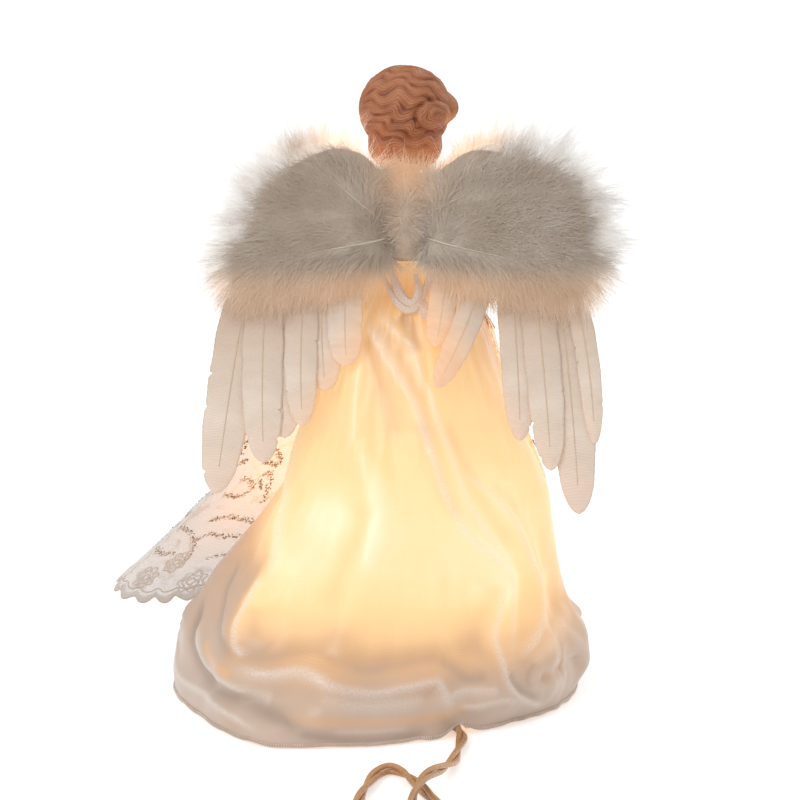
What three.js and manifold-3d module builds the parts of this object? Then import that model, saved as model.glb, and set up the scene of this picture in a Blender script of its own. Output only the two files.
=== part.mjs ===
// Lighted angel tree topper. A hollow cone slips over the tip of a tree and carries a small angel in a
// gathered satin gown, with feather wings, ten push-in lamps inside the gown and a short lead with a plug.
// Millimetres, +Z up. The angel faces -Y, so its left is +X. The origin is on the cone's axis at its foot.
import * as THREE from 'three';
import { mergeVertices } from 'three/addons/utils/BufferGeometryUtils.js';
import Module from 'manifold-3d';

const wasm = await Module();
wasm.setup();

// Clearances
const FIT = 0.3;
const CLOTH_GAP = 0.5;
const LACE_GAP = 1.6;

// Support cone
const CONE_HEIGHT = 172;
const CONE_BASE_RADIUS = 54;
const CONE_TOP_RADIUS = 11;
const CONE_WALL = 1.6;
const FOOT_WIDTH = 5;
const FOOT_THICKNESS = 2;
const NOTCH_WIDTH = 10;
const NOTCH_HEIGHT = 7;
const NOTCH_TURN = 109;

// Lamps, in rows that follow one another round the cone as the wire does
const LAMP_ROWS = [
  { count: 4, height: 50, climb: 0, firstTurn: 125 },
  { count: 3, height: 76, climb: 0, firstTurn: 536 },
  { count: 3, height: 104, climb: 14, firstTurn: 897 },
];
const SOCKET_RADIUS = 3.6;
const SOCKET_DEPTH = 13;
const SOCKET_LIP = 1.2;
const SOCKET_TAPER = 1.2;
const BULB_STEM_RADIUS = 2.2;
const BULB_STEM_LENGTH = 7;
const BULB_COLLAR_RADIUS = 3.2;
const BULB_COLLAR_HEIGHT = 0.9;
const BULB_RADIUS = 2.4;
const BULB_LENGTH = 5.6;
const BULB_TIP = 2.6;

// Wires
const HARNESS_RADIUS = 1.1;
const HARNESS_STATION = 9;
const HARNESS_ENTRY = 6;
const HARNESS_RISE = 2;
const HARNESS_SPAN_TURN = 28;
const HARNESS_GAP = 0.7;
const LEAD_RADIUS = 2.2;

// Body, as heights above the cone's mouth and half widths across and front to back
const SPIGOT_LENGTH = 10;
const TORSO_RINGS = [
  [6, 12.5, 11],
  [14, 16, 13],
  [23, 19.5, 14.5],
  [31, 20.5, 13],
  [36, 14, 10],
  [38.5, 7.8, 7.8],
];
const BODICE_THICKNESS = 1;
const NECK_RADIUS = 5.2;
const NECK_PEG = 8;
const HEAD_CENTRE = new THREE.Vector3(0, -0.5, 63);
const HEAD_RADII = new THREE.Vector3(14.2, 15.5, 17);
const HAIR_CENTRE = new THREE.Vector3(0, 3.5, 65.2);
const HAIR_RADII = new THREE.Vector3(18, 17.5, 16.8);
const NAPE_CENTRE = new THREE.Vector3(0, 8.5, 51.5);
const NAPE_RADII = new THREE.Vector3(14.5, 9, 11);
const BUN_CENTRE = new THREE.Vector3(-15.2, 2, 65.5);
const BUN_RADIUS = 5.6;
const FACE_OPENING_CENTRE = new THREE.Vector3(0, -21, 58);
const FACE_OPENING_RADII = new THREE.Vector3(13.5, 19, 20);
const NOSE_RADIUS = 1.7;

// Gown: rows of height and reach to the left, right, back and front, from waist to hem
const SKIRT_TOP_DROP = 0.4;
const SKIRT_THICKNESS = 1.2;
const SKIRT_ROWS = [
  [167, 19.5, 19.5, 15.5, 18],
  [150, 31, 33, 26, 30],
  [134, 34.5, 37, 34, 36],
  [120, 37.5, 41, 40, 40],
  [103, 44.5, 49.5, 47, 46],
  [86, 49, 56.5, 53, 52],
  [68, 62.5, 58.5, 59, 60],
  [48, 79, 62, 62, 68],
  [34, 87.5, 67.5, 66, 74],
  [26, 92, 72.5, 72, 79],
  [17, 92.5, 73, 70.5, 79.5],
  [8, 95, 76, 76, 82],
  [0.3, 92.5, 74, 74, 80],
];
const SKIRT_COLUMNS = 44;
// Folds: the line of each crest as turns and heights, half width in degrees and depth at the hem
const SKIRT_FOLDS = [
  { crest: [[9, 124], [26, 79], [36, 60], [34, 36], [40, 20]], halfWidth: 10, depth: 8 },
  { crest: [[38, 163], [64, 112], [78, 85], [74, 60], [68, 36]], halfWidth: 10, depth: 8 },
  { crest: [[47, 159], [91, 129], [110, 82], [129, 58], [124, 32]], halfWidth: 10, depth: 9 },
  { crest: [[112, 108], [130, 92], [151, 56], [143, 28]], halfWidth: 10, depth: 8 },
  { crest: [[158, 140], [170, 80], [176, 20]], halfWidth: 11, depth: 7 },
  { crest: [[196, 150], [204, 20]], halfWidth: 12, depth: 9 },
  { crest: [[230, 150], [234, 20]], halfWidth: 12, depth: 9 },
  { crest: [[264, 150], [263, 20]], halfWidth: 12, depth: 9 },
  { crest: [[298, 150], [294, 20]], halfWidth: 12, depth: 9 },
  { crest: [[332, 150], [325, 20]], halfWidth: 12, depth: 9 },
];
const POOL_TURN = 58;
const POOL_HALF_WIDTH = 22;
const POOL_REACH = 10;
const POOL_HEIGHT = 46;
// Hem: reach by turn where the gown meets the floor, and the height up to which it draws the folds in
const HEM_REACH = [
  [0, 94.5],
  [24, 90.5],
  [37, 91],
  [48, 94],
  [56, 94.5],
  [63, 88],
  [71, 82.5],
  [80, 78.5],
  [91, 72.5],
  [105, 67],
  [118, 64.5],
  [140, 64.5],
  [150, 66.5],
  [164, 69],
  [184, 70],
  [225, 76],
  [270, 80],
  [315, 88],
  [360, 94.5],
];
const HEM_HEIGHT = 18;
const HEM_ARCH_HEIGHT = 7.5;
const HEM_ARCH_HALF_WIDTH = 9;
const HEM_ARCH_FADE = 30;

// Lace panel over the front, with its left edge flaring away from the gown
const LACE_TOP = 164;
const LACE_HEM = 31;
const LACE_TIP_LIFT = 15.5;
const LACE_THICKNESS = 0.8;
const LACE_START = -172;
const LACE_END = 6;
const LACE_FLARE = 35;
const LACE_FLARE_TURNS = 62;
const LACE_COLUMNS = 30;
const LACE_ROWS = 8;

// Arms
const SHOULDER_HEIGHT = 27;
const SHOULDER_STANDOFF = 2.2;
const SLEEVE_PATH = [
  [0, 0, 0, 6.4],
  [6.4, -2, -4, 7.6],
  [9, -9, -14, 8.2],
  [3, -22, -20, 8.6],
  [-9, -35, -15, 10],
];
const CUFF_DEPTH = 0.22;
const CUFF_WALL = 1;
const WRIST_RADIUS = 2.6;
const HAND_PATH = [
  [10, -38.5, 13, 2.8, 2.8],
  [5.4, -42.5, 16.5, 2.6, 3.6],
  [3.3, -44.4, 21, 2.3, 4.2],
  [3, -45.4, 26.5, 2, 3.6],
  [2.8, -46, 32, 1, 1.8],
];

// Wings: outlines of the front pad and of each back pad, as reach and height above the cone's mouth
const WING_DEPTH = 25;
const CARD_THICKNESS = 1.2;
const SPINE_HALF_WIDTH = 5;
const SPINE_BOTTOM = 10;
const SPINE_TOP = 31;
const WING_CENTRE = [36, 24];
const PAD_OUTLINE = [
  [8, 11],
  [7, 22],
  [9, 33],
  [16, 43],
  [24, 51],
  [33, 53.5],
  [43, 51],
  [53, 43],
  [62, 31],
  [67, 16],
  [69, 0],
  [60, -5],
  [44, -1],
  [25, 5],
];
const BACK_LEFT_OUTLINE = [
  [6, 11],
  [6.5, 24],
  [7, 35],
  [9, 44],
  [14, 50.5],
  [20, 53.3],
  [27, 54],
  [34, 52],
  [42, 48],
  [50, 43.5],
  [56, 36],
  [60, 27],
  [64, 16],
  [68, 1],
  [57, -3],
  [44, -1],
  [25, 5],
];
const BACK_RIGHT_OUTLINE = [
  [6, 11],
  [6.5, 24],
  [8, 36],
  [12, 44.5],
  [17.5, 49],
  [22, 52],
  [28, 53.5],
  [36.5, 52.5],
  [44, 51],
  [51, 50],
  [58, 47.5],
  [65, 42.5],
  [70, 35],
  [73, 26],
  [73, 15],
  [70, 1],
  [58, -4],
  [44, -1],
  [25, 5],
];
const RIGHT_PAD_STRETCH = 1.06;
const CARD_SHARE = 0.84;
const BACK_PAD_DEPTH = 11;
const FRONT_PAD_DEPTH = 6.5;
const FRONT_PAD_LIFT = 1.32;
const FEATHER_QUILL = 1.2;
const FEATHER_EDGE = 0.4;
const FEATHER_BOW = 14;
const FEATHER_BOW_DROP = 100;
const FEATHER_ROOT_SHARE = 0.6;
const FEATHER_TIP_SHARE = 0.16;
const FEATHER_FULL_AT = 0.45;
const FEATHER_ROWS = 8;
// Feathers: root, belly and tip as reach and height, width, layer and extra bow away from the gown
const LEFT_FEATHERS = [
  { root: [60, 6], belly: [67, -30], tip: [74, -81], width: 18, layer: 0, curl: 2 },
  { root: [53, 7], belly: [57, -28], tip: [55, -69], width: 16, layer: 1, curl: 2 },
  { root: [45, 8], belly: [50, -22], tip: [47, -60], width: 16, layer: 0, curl: 1 },
  { root: [38, 8], belly: [42, -22], tip: [40, -55], width: 13, layer: 1, curl: 1 },
  { root: [31, 9], belly: [34, -16], tip: [31, -42], width: 15, layer: 0, curl: 0 },
  { root: [23, 10], belly: [24, -10], tip: [23, -32], width: 14, layer: 1, curl: 0 },
];
const RIGHT_FEATHERS = [
  { root: [62, 6], belly: [72, -18], tip: [74, -62], width: 9, layer: 1, curl: 1 },
  { root: [58, 6], belly: [65, -34], tip: [68, -89], width: 17, layer: 0, curl: 2 },
  { root: [49, 7], belly: [54, -26], tip: [57, -72], width: 14, layer: 1, curl: 2 },
  { root: [40, 8], belly: [44, -20], tip: [45, -61], width: 13, layer: 0, curl: 1 },
  { root: [31, 8], belly: [27, -14], tip: [12, -38], width: 11, layer: 1, curl: 12 },
  { root: [17, 13], belly: [15, -8], tip: [12, -24], width: 11, layer: 0, curl: 4 },
];

// Lead: the points of its free stretch from the notch to the coil
const LEAD_POINTS = [
  [-14.9, 43.5, 2.6],
  [-17.6, 52, 2.5],
  [-20.4, 60, 2.4],
  [-21.8, 67, 2.3],
  [-21.5, 77, 2.3],
  [-20, 88.5, 2.3],
  [-18.3, 99, 2.6],
  [-16, 109, 3.8],
  [-13.2, 117.5, 5.4],
  [-10, 125, 6.8],
  [-7, 133, 7.5],
  [-5, 140, 7.2],
  [-3, 148, 6],
  [-2.5, 157, 4.4],
  [-5.5, 165.5, 3],
  [-12, 168.5, 2.3],
  [-17, 163.5, 2.3],
  [-17, 155, 2.3],
  [-13.5, 147.5, 2.3],
  [-9.8, 140.5, 2.3],
  [-6.6, 132, 2.3],
  [-3.4, 122.5, 2.3],
  [0.4, 113.2, 2.3],
  [6, 108.2, 2.3],
  [11, 114.8, 2.3],
  [13.8, 126.5, 2.3],
  [16, 137, 2.3],
  [17.2, 150, 2.3],
  [16.8, 165, 2.3],
  [16.2, 182, 2.3],
  [16, 197, 2.3],
  [16, 205, 2.3],
];
const LEAD_STEPS = 76;
const COIL_RADIUS = 27;
const COIL_DRAW_IN = 5.8;
const COIL_LAYER_TURNS = 0.875;
const COIL_CLIMB_TURNS = 0.5;
const COIL_LAYER_GAP = 0.7;
const COIL_STEPS_PER_TURN = 24;
const TAIL_LENGTH = 30;

// Plug, with its blades along its own +X
const PLUG_LENGTH = 32;
const PLUG_WIDTH = 20;
const PLUG_HEIGHT = 14;
const PLUG_CORNER = 3;
const PLUG_FLOOR = 0.2;
const GLAND_LENGTH = 6;
const GLAND_RADIUS = 4;
const BLADE_LENGTH = 16;
const BLADE_SEAT = 9;
const BLADE_WIDTH = 6.4;
const BLADE_THICKNESS = 1.5;
const BLADE_SPACING = 12.7;
const BLADE_DROP = 3;
const DOOR_LENGTH = 16;
const DOOR_WIDTH = 8;
const DOOR_THICKNESS = 1.6;
const FUSE_RADIUS = 1.8;
const FUSE_LENGTH = 10;
const FUSE_CAP_RADIUS = 2.1;
const FUSE_CAP_LENGTH = 2.5;

// Values that follow from the sizes above
const DEGREE = Math.PI / 180;
const CONE_LEAN = Math.atan2(CONE_BASE_RADIUS - CONE_TOP_RADIUS, CONE_HEIGHT);
const BULB_REACH = SOCKET_LIP + FIT + BULB_COLLAR_HEIGHT + BULB_LENGTH + BULB_TIP;
const SPIGOT_RADIUS = CONE_TOP_RADIUS - CONE_WALL - FIT;
const BODICE_HALF_WIDTH = Math.max(...TORSO_RINGS.map(([, rx]) => rx)) + CLOTH_GAP + BODICE_THICKNESS;
const SHOULDER_REACH = BODICE_HALF_WIDTH + SHOULDER_STANDOFF;
const SKIRT_TOP = CONE_HEIGHT + TORSO_RINGS[0][0] - SKIRT_TOP_DROP;

const angel = new THREE.Group();

function material(color, roughness, metalness = 0) {
  return new THREE.MeshStandardMaterial({ color, roughness, metalness });
}

const plastic = () => material(0xf2efe6, 0.5);
const satin = () => material(0xf3d9a8, 0.35);
const porcelain = () => material(0xe9c4a8, 0.4);
const down = () => material(0xb0a392, 0.95);
const goose = () => material(0xcdb9a6, 0.8);
const ivoryWire = () => material(0xd2a57a, 0.5);

function add(parent, name, geometry, surface) {
  const mesh = new THREE.Mesh(geometry, surface);
  mesh.name = name;
  parent.add(mesh);
  return mesh;
}

function indexed(positions, triangles) {
  const geometry = new THREE.BufferGeometry();
  geometry.setAttribute('position', new THREE.Float32BufferAttribute(positions, 3));
  geometry.setIndex(triangles);
  geometry.computeVertexNormals();
  return geometry;
}

function signedVolume(points, triangles) {
  let volume = 0;
  for (let i = 0; i < triangles.length; i += 3) {
    const [a, b, c] = [0, 1, 2].map((k) => new THREE.Vector3(...points[triangles[i + k]]));
    volume += a.dot(b.cross(c)) / 6;
  }
  return volume;
}

// A closed surface through rings of points. The ends are joined to each other (loop), drawn to the middle
// of the ring (point), or closed straight across a flat section (zip).
function skin(rings, ends) {
  const count = rings[0].length;
  const points = rings.flat();
  const triangles = [];
  const quad = (a, b, c, d) => triangles.push(a, d, b, b, d, c);
  const spans = ends === 'loop' ? rings.length : rings.length - 1;
  for (let row = 0; row < spans; row++) {
    const next = (row + 1) % rings.length;
    for (let j = 0; j < count; j++) {
      const k = (j + 1) % count;
      quad(row * count + j, row * count + k, next * count + k, next * count + j);
    }
  }
  for (const [row, flip] of ends === 'loop' ? [] : [[0, false], [rings.length - 1, true]]) {
    const start = row * count;
    if (ends === 'zip') {
      for (let j = 0; j < count / 2 - 1; j++) {
        const corner = [j, j + 1, count - 2 - j, count - 1 - j].map((i) => start + i);
        quad(...(flip ? corner : corner.reverse()));
      }
      continue;
    }
    const middle = [0, 1, 2].map((axis) => rings[row].reduce((sum, p) => sum + p[axis], 0) / count);
    points.push(middle);
    for (let j = 0; j < count; j++) {
      const edge = [start + j, start + ((j + 1) % count)];
      triangles.push(points.length - 1, ...(flip ? edge.reverse() : edge));
    }
  }
  if (signedVolume(points, triangles) < 0) triangles.reverse();
  return indexed(points.flat(), triangles);
}

function solid(geometry) {
  const bare = geometry.clone();
  bare.deleteAttribute('normal');
  bare.deleteAttribute('uv');
  const merged = mergeVertices(bare);
  const vertProperties = new Float32Array(merged.attributes.position.array);
  const triVerts = new Uint32Array(merged.index.array);
  return new wasm.Manifold(new wasm.Mesh({ numProp: 3, vertProperties, triVerts }));
}

function fromSolid(body) {
  const { vertProperties, triVerts } = body.getMesh();
  return indexed(Array.from(vertProperties), Array.from(triVerts));
}

function lathe(profile, segments) {
  const points = profile.map(([r, z]) => new THREE.Vector2(r, z));
  return new THREE.LatheGeometry(points, segments).rotateX(Math.PI / 2);
}

function ellipsoid(centre, radii, segments) {
  const ball = new THREE.SphereGeometry(1, segments, Math.round(segments * 0.6));
  return ball.rotateX(Math.PI / 2).scale(...radii).translate(...centre);
}

function box(x0, x1, y0, y1, z0, z1) {
  const geometry = new THREE.BoxGeometry(x1 - x0, y1 - y0, z1 - z0);
  return geometry.translate((x0 + x1) / 2, (y0 + y1) / 2, (z0 + z1) / 2);
}

function tube(points, radius, sides, steps) {
  const path = new THREE.CatmullRomCurve3(points.map((p) => new THREE.Vector3(...p)));
  const section = new THREE.Shape();
  section.absarc(0, 0, radius, 0, 2 * Math.PI);
  const options = { steps, extrudePath: path, bevelEnabled: false, curveSegments: sides / 2 };
  return new THREE.ExtrudeGeometry(section, options);
}

function ellipse(rx, ry, z, count) {
  return Array.from({ length: count }, (_, i) => {
    const turn = (2 * Math.PI * i) / count;
    return [rx * Math.cos(turn), ry * Math.sin(turn), z];
  });
}

function smooth(value) {
  const t = THREE.MathUtils.clamp(value, 0, 1);
  return t * t * (3 - 2 * t);
}

function bump(distance, halfWidth) {
  return Math.exp(-((distance / halfWidth) ** 2));
}

function turnBetween(a, b) {
  return ((((a - b + 180) % 360) + 360) % 360) - 180;
}

// Support cone with its foot ring, lamp holes and the notch for the lead
function coneRadius(height) {
  return THREE.MathUtils.lerp(CONE_BASE_RADIUS, CONE_TOP_RADIUS, height / CONE_HEIGHT);
}

function polar(turn, radius, height) {
  return [radius * Math.cos(turn * DEGREE), radius * Math.sin(turn * DEGREE), height];
}

// The place of a lamp on the middle of the wall, with its own +Z pointing out square to the wall
function lampSeat(turn, height) {
  const place = new THREE.Vector3(...polar(turn, coneRadius(height) - CONE_WALL / 2, height));
  const out = new THREE.Vector3(...polar(turn, Math.cos(CONE_LEAN), Math.sin(CONE_LEAN)));
  const spin = new THREE.Quaternion().setFromUnitVectors(new THREE.Vector3(0, 0, 1), out);
  return { turn, height, place, out, spin };
}

const lampSeats = LAMP_ROWS.flatMap(({ count, height, climb, firstTurn }) =>
  Array.from({ length: count }, (_, i) => lampSeat(firstTurn + (360 / count) * i, height + climb * i)));

function supportCone() {
  const footRadius = CONE_BASE_RADIUS + FOOT_WIDTH;
  const profile = [
    [footRadius, 0],
    [footRadius, FOOT_THICKNESS],
    [coneRadius(FOOT_THICKNESS), FOOT_THICKNESS],
    [CONE_TOP_RADIUS, CONE_HEIGHT],
    [CONE_TOP_RADIUS - CONE_WALL, CONE_HEIGHT],
    [CONE_BASE_RADIUS - CONE_WALL, 0],
  ];
  let body = solid(lathe([...profile, profile[0]], 48));
  for (const seat of lampSeats) {
    const hole = new THREE.CylinderGeometry(SOCKET_RADIUS + FIT, SOCKET_RADIUS + FIT, 6 * CONE_WALL, 12);
    hole.rotateX(Math.PI / 2).applyQuaternion(seat.spin).translate(...seat.place);
    body = body.subtract(solid(hole));
  }
  const half = NOTCH_WIDTH / 2;
  const notch = box(CONE_BASE_RADIUS / 2, 2 * footRadius, -half, half, -NOTCH_HEIGHT, NOTCH_HEIGHT);
  body = body.subtract(solid(notch.rotateZ(NOTCH_TURN * DEGREE)));
  add(angel, 'support_cone', fromSolid(body), plastic());
}

// Lamps: a push-in holder with a bulb in its bore, both along the seat's own +Z
function lamps() {
  const bore = BULB_STEM_RADIUS + FIT;
  const boreFloor = SOCKET_LIP - BULB_STEM_LENGTH;
  const socketProfile = [
    [0, -SOCKET_DEPTH],
    [SOCKET_RADIUS - SOCKET_TAPER, -SOCKET_DEPTH],
    [SOCKET_RADIUS, -SOCKET_DEPTH + SOCKET_TAPER],
    [SOCKET_RADIUS, SOCKET_LIP],
    [bore, SOCKET_LIP],
    [bore, boreFloor],
    [0, boreFloor],
  ];
  const collarFoot = SOCKET_LIP + FIT;
  const glassFoot = collarFoot + BULB_COLLAR_HEIGHT;
  const bulbProfile = [
    [0, boreFloor + FIT],
    [BULB_STEM_RADIUS, boreFloor + FIT],
    [BULB_STEM_RADIUS, collarFoot],
    [BULB_COLLAR_RADIUS, collarFoot],
    [BULB_COLLAR_RADIUS, glassFoot],
    [BULB_RADIUS, glassFoot],
    [BULB_RADIUS, glassFoot + BULB_LENGTH],
    [BULB_RADIUS / 2, BULB_REACH - BULB_TIP / 4],
    [0, BULB_REACH],
  ];
  lampSeats.forEach((seat, i) => {
    const lamp = new THREE.Group();
    lamp.position.copy(seat.place);
    lamp.quaternion.copy(seat.spin);
    add(lamp, `lamp_socket_${i + 1}`, lathe(socketProfile, 10), material(0x4a5a3c, 0.6));
    add(lamp, `lamp_bulb_${i + 1}`, lathe(bulbProfile, 8), material(0xfff3d0, 0.1));
    angel.add(lamp);
  });
}

// Wire inside the cone: it passes under every lamp holder and lies against the wall between them
function harness() {
  const wall = CONE_WALL + HARNESS_RADIUS + HARNESS_GAP;
  const onWall = (turn, height) => polar(turn, coneRadius(height) - wall / Math.cos(CONE_LEAN), height);
  const drop = SOCKET_RADIUS + HARNESS_RADIUS + FIT;
  const underLamp = (seat) => {
    const down = new THREE.Vector3(...polar(seat.turn, Math.sin(CONE_LEAN), -Math.cos(CONE_LEAN)));
    return seat.place.clone().addScaledVector(seat.out, -HARNESS_STATION).addScaledVector(down, drop);
  };
  const [x, y, z] = LEAD_POINTS[0];
  const away = 1 - FIT / Math.hypot(x, y);
  const points = [[x * away, y * away, z]];
  points.push(polar(NOTCH_TURN - 1, Math.hypot(x, y) - HARNESS_ENTRY, z + HARNESS_RISE));
  points.push(onWall(NOTCH_TURN + 1, lampSeats[0].height / 2));
  lampSeats.forEach((seat, i) => {
    points.push([...underLamp(seat)]);
    const next = lampSeats[i + 1];
    if (!next) return;
    const spans = Math.max(2, Math.round((next.turn - seat.turn) / HARNESS_SPAN_TURN));
    for (let k = 1; k < spans; k++) {
      const share = k / spans;
      const height = THREE.MathUtils.lerp(seat.height, next.height, share) - drop;
      points.push(onWall(THREE.MathUtils.lerp(seat.turn, next.turn, share), height));
    }
  });
  add(angel, 'harness', tube(points, HARNESS_RADIUS, 6, 2 * points.length), ivoryWire());
}

// The turn of a fold's crest at a height, held at its ends
function crestTurn(crest, height) {
  const below = crest.findIndex((point) => point[1] <= height);
  if (below === 0) return crest[0][0];
  if (below < 0) return crest.at(-1)[0];
  const [[highTurn, high], [lowTurn, low]] = [crest[below - 1], crest[below]];
  return THREE.MathUtils.mapLinear(height, high, low, highTurn, lowTurn);
}

// Gown skirt: reach from the axis at a turn and a height, with its folds and the pool of cloth at the hem
function skirtReach(turn, height) {
  const waist = [SKIRT_TOP, ...waistReach()];
  const rows = [waist, ...SKIRT_ROWS];
  const below = Math.max(1, rows.findIndex((row) => row[0] <= height));
  const [high, low] = [rows[below - 1], rows[below]];
  const share = (high[0] - height) / (high[0] - low[0]);
  const [left, right, back, front] = [1, 2, 3, 4].map((i) => THREE.MathUtils.lerp(high[i], low[i], share));
  const mean = (left + right + back + front) / 4;
  const oval = (left + right - back - front) / 4;
  const angle = turn * DEGREE;
  const drop = 1 - height / SKIRT_TOP;
  let reach = mean + ((left - right) / 2) * Math.cos(angle) + ((back - front) / 2) * Math.sin(angle);
  reach += oval * Math.cos(2 * angle);
  for (const { crest, halfWidth, depth } of SKIRT_FOLDS) {
    const away = turnBetween(turn, crestTurn(crest, height));
    reach += depth * drop * (bump(away, halfWidth) - bump(away, 2 * halfWidth) / 2);
  }
  const pool = smooth(1 - height / POOL_HEIGHT) * bump(turnBetween(turn, POOL_TURN), POOL_HALF_WIDTH);
  return THREE.MathUtils.lerp(reach + POOL_REACH * pool, hemReach(turn), smooth(1 - height / HEM_HEIGHT));
}

function hemReach(turn) {
  const around = (turn + 360) % 360;
  const next = HEM_REACH.findIndex((point) => point[0] > around);
  const [[fromTurn, from], [toTurn, to]] = [HEM_REACH[next - 1], HEM_REACH[next]];
  return THREE.MathUtils.mapLinear(around, fromTurn, toTurn, from, to);
}

function waistReach() {
  const [, rx, ry] = TORSO_RINGS[0];
  const wall = CLOTH_GAP + SKIRT_THICKNESS;
  return [rx + wall, rx + wall, ry + wall, ry + wall];
}

function skirt() {
  const heights = [SKIRT_TOP, ...SKIRT_ROWS.map((row) => row[0])];
  const ring = (height, inset) => Array.from({ length: SKIRT_COLUMNS }, (_, i) => {
    const turn = (360 * i) / SKIRT_COLUMNS;
    const arch = HEM_ARCH_HEIGHT * bump(turnBetween(turn, NOTCH_TURN), HEM_ARCH_HALF_WIDTH);
    const lift = arch * Math.max(0, 1 - height / HEM_ARCH_FADE);
    return polar(turn, skirtReach(turn, height) - inset, height + lift);
  });
  const outer = heights.map((height) => ring(height, 0));
  const inner = heights.map((height) => ring(height, SKIRT_THICKNESS)).reverse();
  add(angel, 'gown_skirt', skin([...outer, ...inner], 'loop'), satin());
}

// Lace panel: it follows the gown and leaves it towards its free left edge
function lace() {
  const sheet = (turn, share, lift) => {
    const edge = smooth((turn - LACE_END + LACE_FLARE_TURNS) / LACE_FLARE_TURNS);
    const hem = LACE_HEM + LACE_TIP_LIFT * edge ** 4;
    const height = THREE.MathUtils.lerp(LACE_TOP, hem, share);
    const flare = LACE_FLARE * edge * share ** 0.8;
    return polar(turn, skirtReach(turn, height) + LACE_GAP + flare + lift, height);
  };
  const turns = Array.from({ length: LACE_COLUMNS + 1 }, (_, i) =>
    THREE.MathUtils.lerp(LACE_START, LACE_END, i / LACE_COLUMNS));
  const rings = Array.from({ length: LACE_ROWS + 1 }, (_, i) => {
    const face = (lift) => turns.map((turn) => sheet(turn, i / LACE_ROWS, lift));
    return [...face(0), ...face(LACE_THICKNESS).reverse()];
  });
  add(angel, 'lace_overskirt', skin(rings, 'zip'), material(0xe4dfd8, 0.8));
}

// Body above the cone's mouth: a former with a spigot below and a bore for the neck, dressed in a bodice
function body(figure) {
  const count = 24;
  const neckBore = NECK_RADIUS + FIT;
  const top = TORSO_RINGS.at(-1)[0];
  const seat = TORSO_RINGS[0];
  const rings = [
    ellipse(SPIGOT_RADIUS, SPIGOT_RADIUS, -SPIGOT_LENGTH, count),
    ellipse(SPIGOT_RADIUS, SPIGOT_RADIUS, FIT, count),
    ellipse(seat[1], seat[2], FIT, count),
    ...TORSO_RINGS.map(([z, rx, ry]) => ellipse(rx, ry, z, count)),
    ellipse(neckBore, neckBore, top, count),
    ellipse(neckBore, neckBore, top - NECK_PEG, count),
  ];
  add(figure, 'torso', skin(rings, 'point'), plastic());
  const cloth = (grow) => TORSO_RINGS.slice(0, -1).map(([z, rx, ry]) =>
    ellipse(rx + grow, ry + grow, z + grow / 2, count));
  const shell = [...cloth(CLOTH_GAP + BODICE_THICKNESS), ...cloth(CLOTH_GAP).reverse()];
  add(figure, 'gown_bodice', skin(shell, 'loop'), satin());
}

// Head on its neck peg, and the moulded hair that fits round it with a roll of curls on the right
function head(figure) {
  const grown = (radii, by) => radii.clone().addScalar(by);
  const pegFoot = TORSO_RINGS.at(-1)[0] - NECK_PEG + FIT;
  const neck = (by) => {
    const height = HEAD_CENTRE.z - pegFoot;
    const post = new THREE.CylinderGeometry(NECK_RADIUS + by, NECK_RADIUS + by, height, 16);
    return solid(post.rotateX(Math.PI / 2).translate(0, 0, pegFoot + height / 2));
  };
  const skull = (by) => solid(ellipsoid(HEAD_CENTRE, grown(HEAD_RADII, by), 20)).add(neck(by));
  const noseTip = HEAD_CENTRE.clone().add(new THREE.Vector3(0, -HEAD_RADII.y, -NOSE_RADIUS));
  const nose = solid(ellipsoid(noseTip, new THREE.Vector3(1, 1, 1.6).multiplyScalar(NOSE_RADIUS), 10));
  add(figure, 'head', fromSolid(skull(0).add(nose)), porcelain());
  const bun = new THREE.Vector3().setScalar(BUN_RADIUS);
  const hair = solid(ellipsoid(HAIR_CENTRE, HAIR_RADII, 20))
    .add(solid(ellipsoid(NAPE_CENTRE, NAPE_RADII, 16)))
    .add(solid(ellipsoid(BUN_CENTRE, bun, 12)))
    .subtract(skull(FIT))
    .subtract(solid(ellipsoid(FACE_OPENING_CENTRE, FACE_OPENING_RADII, 20)));
  add(figure, 'hair', fromSolid(hair), material(0xb5734f, 0.6));
}

// Rings square to a path, each an ellipse of two radii, the first across the body
function pathRings(stations, count) {
  const path = new THREE.CatmullRomCurve3(stations.map(([x, y, z]) => new THREE.Vector3(x, y, z)));
  return stations.map(([, , , ra, rb = ra], i) => {
    const share = i / (stations.length - 1);
    const centre = path.getPoint(share);
    const along = path.getTangent(share);
    const up = new THREE.Vector3(0, 0, 1);
    const across = new THREE.Vector3().crossVectors(up, along).normalize();
    const rise = new THREE.Vector3().crossVectors(along, across);
    return Array.from({ length: count }, (_, k) => {
      const turn = (2 * Math.PI * k) / count;
      const point = centre.clone().addScaledVector(across, ra * Math.cos(turn));
      return [...point.addScaledVector(rise, rb * Math.sin(turn))];
    });
  });
}

function mirrored(stations, side) {
  return stations.map(([x, ...rest]) => [side * x, ...rest]);
}

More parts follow.
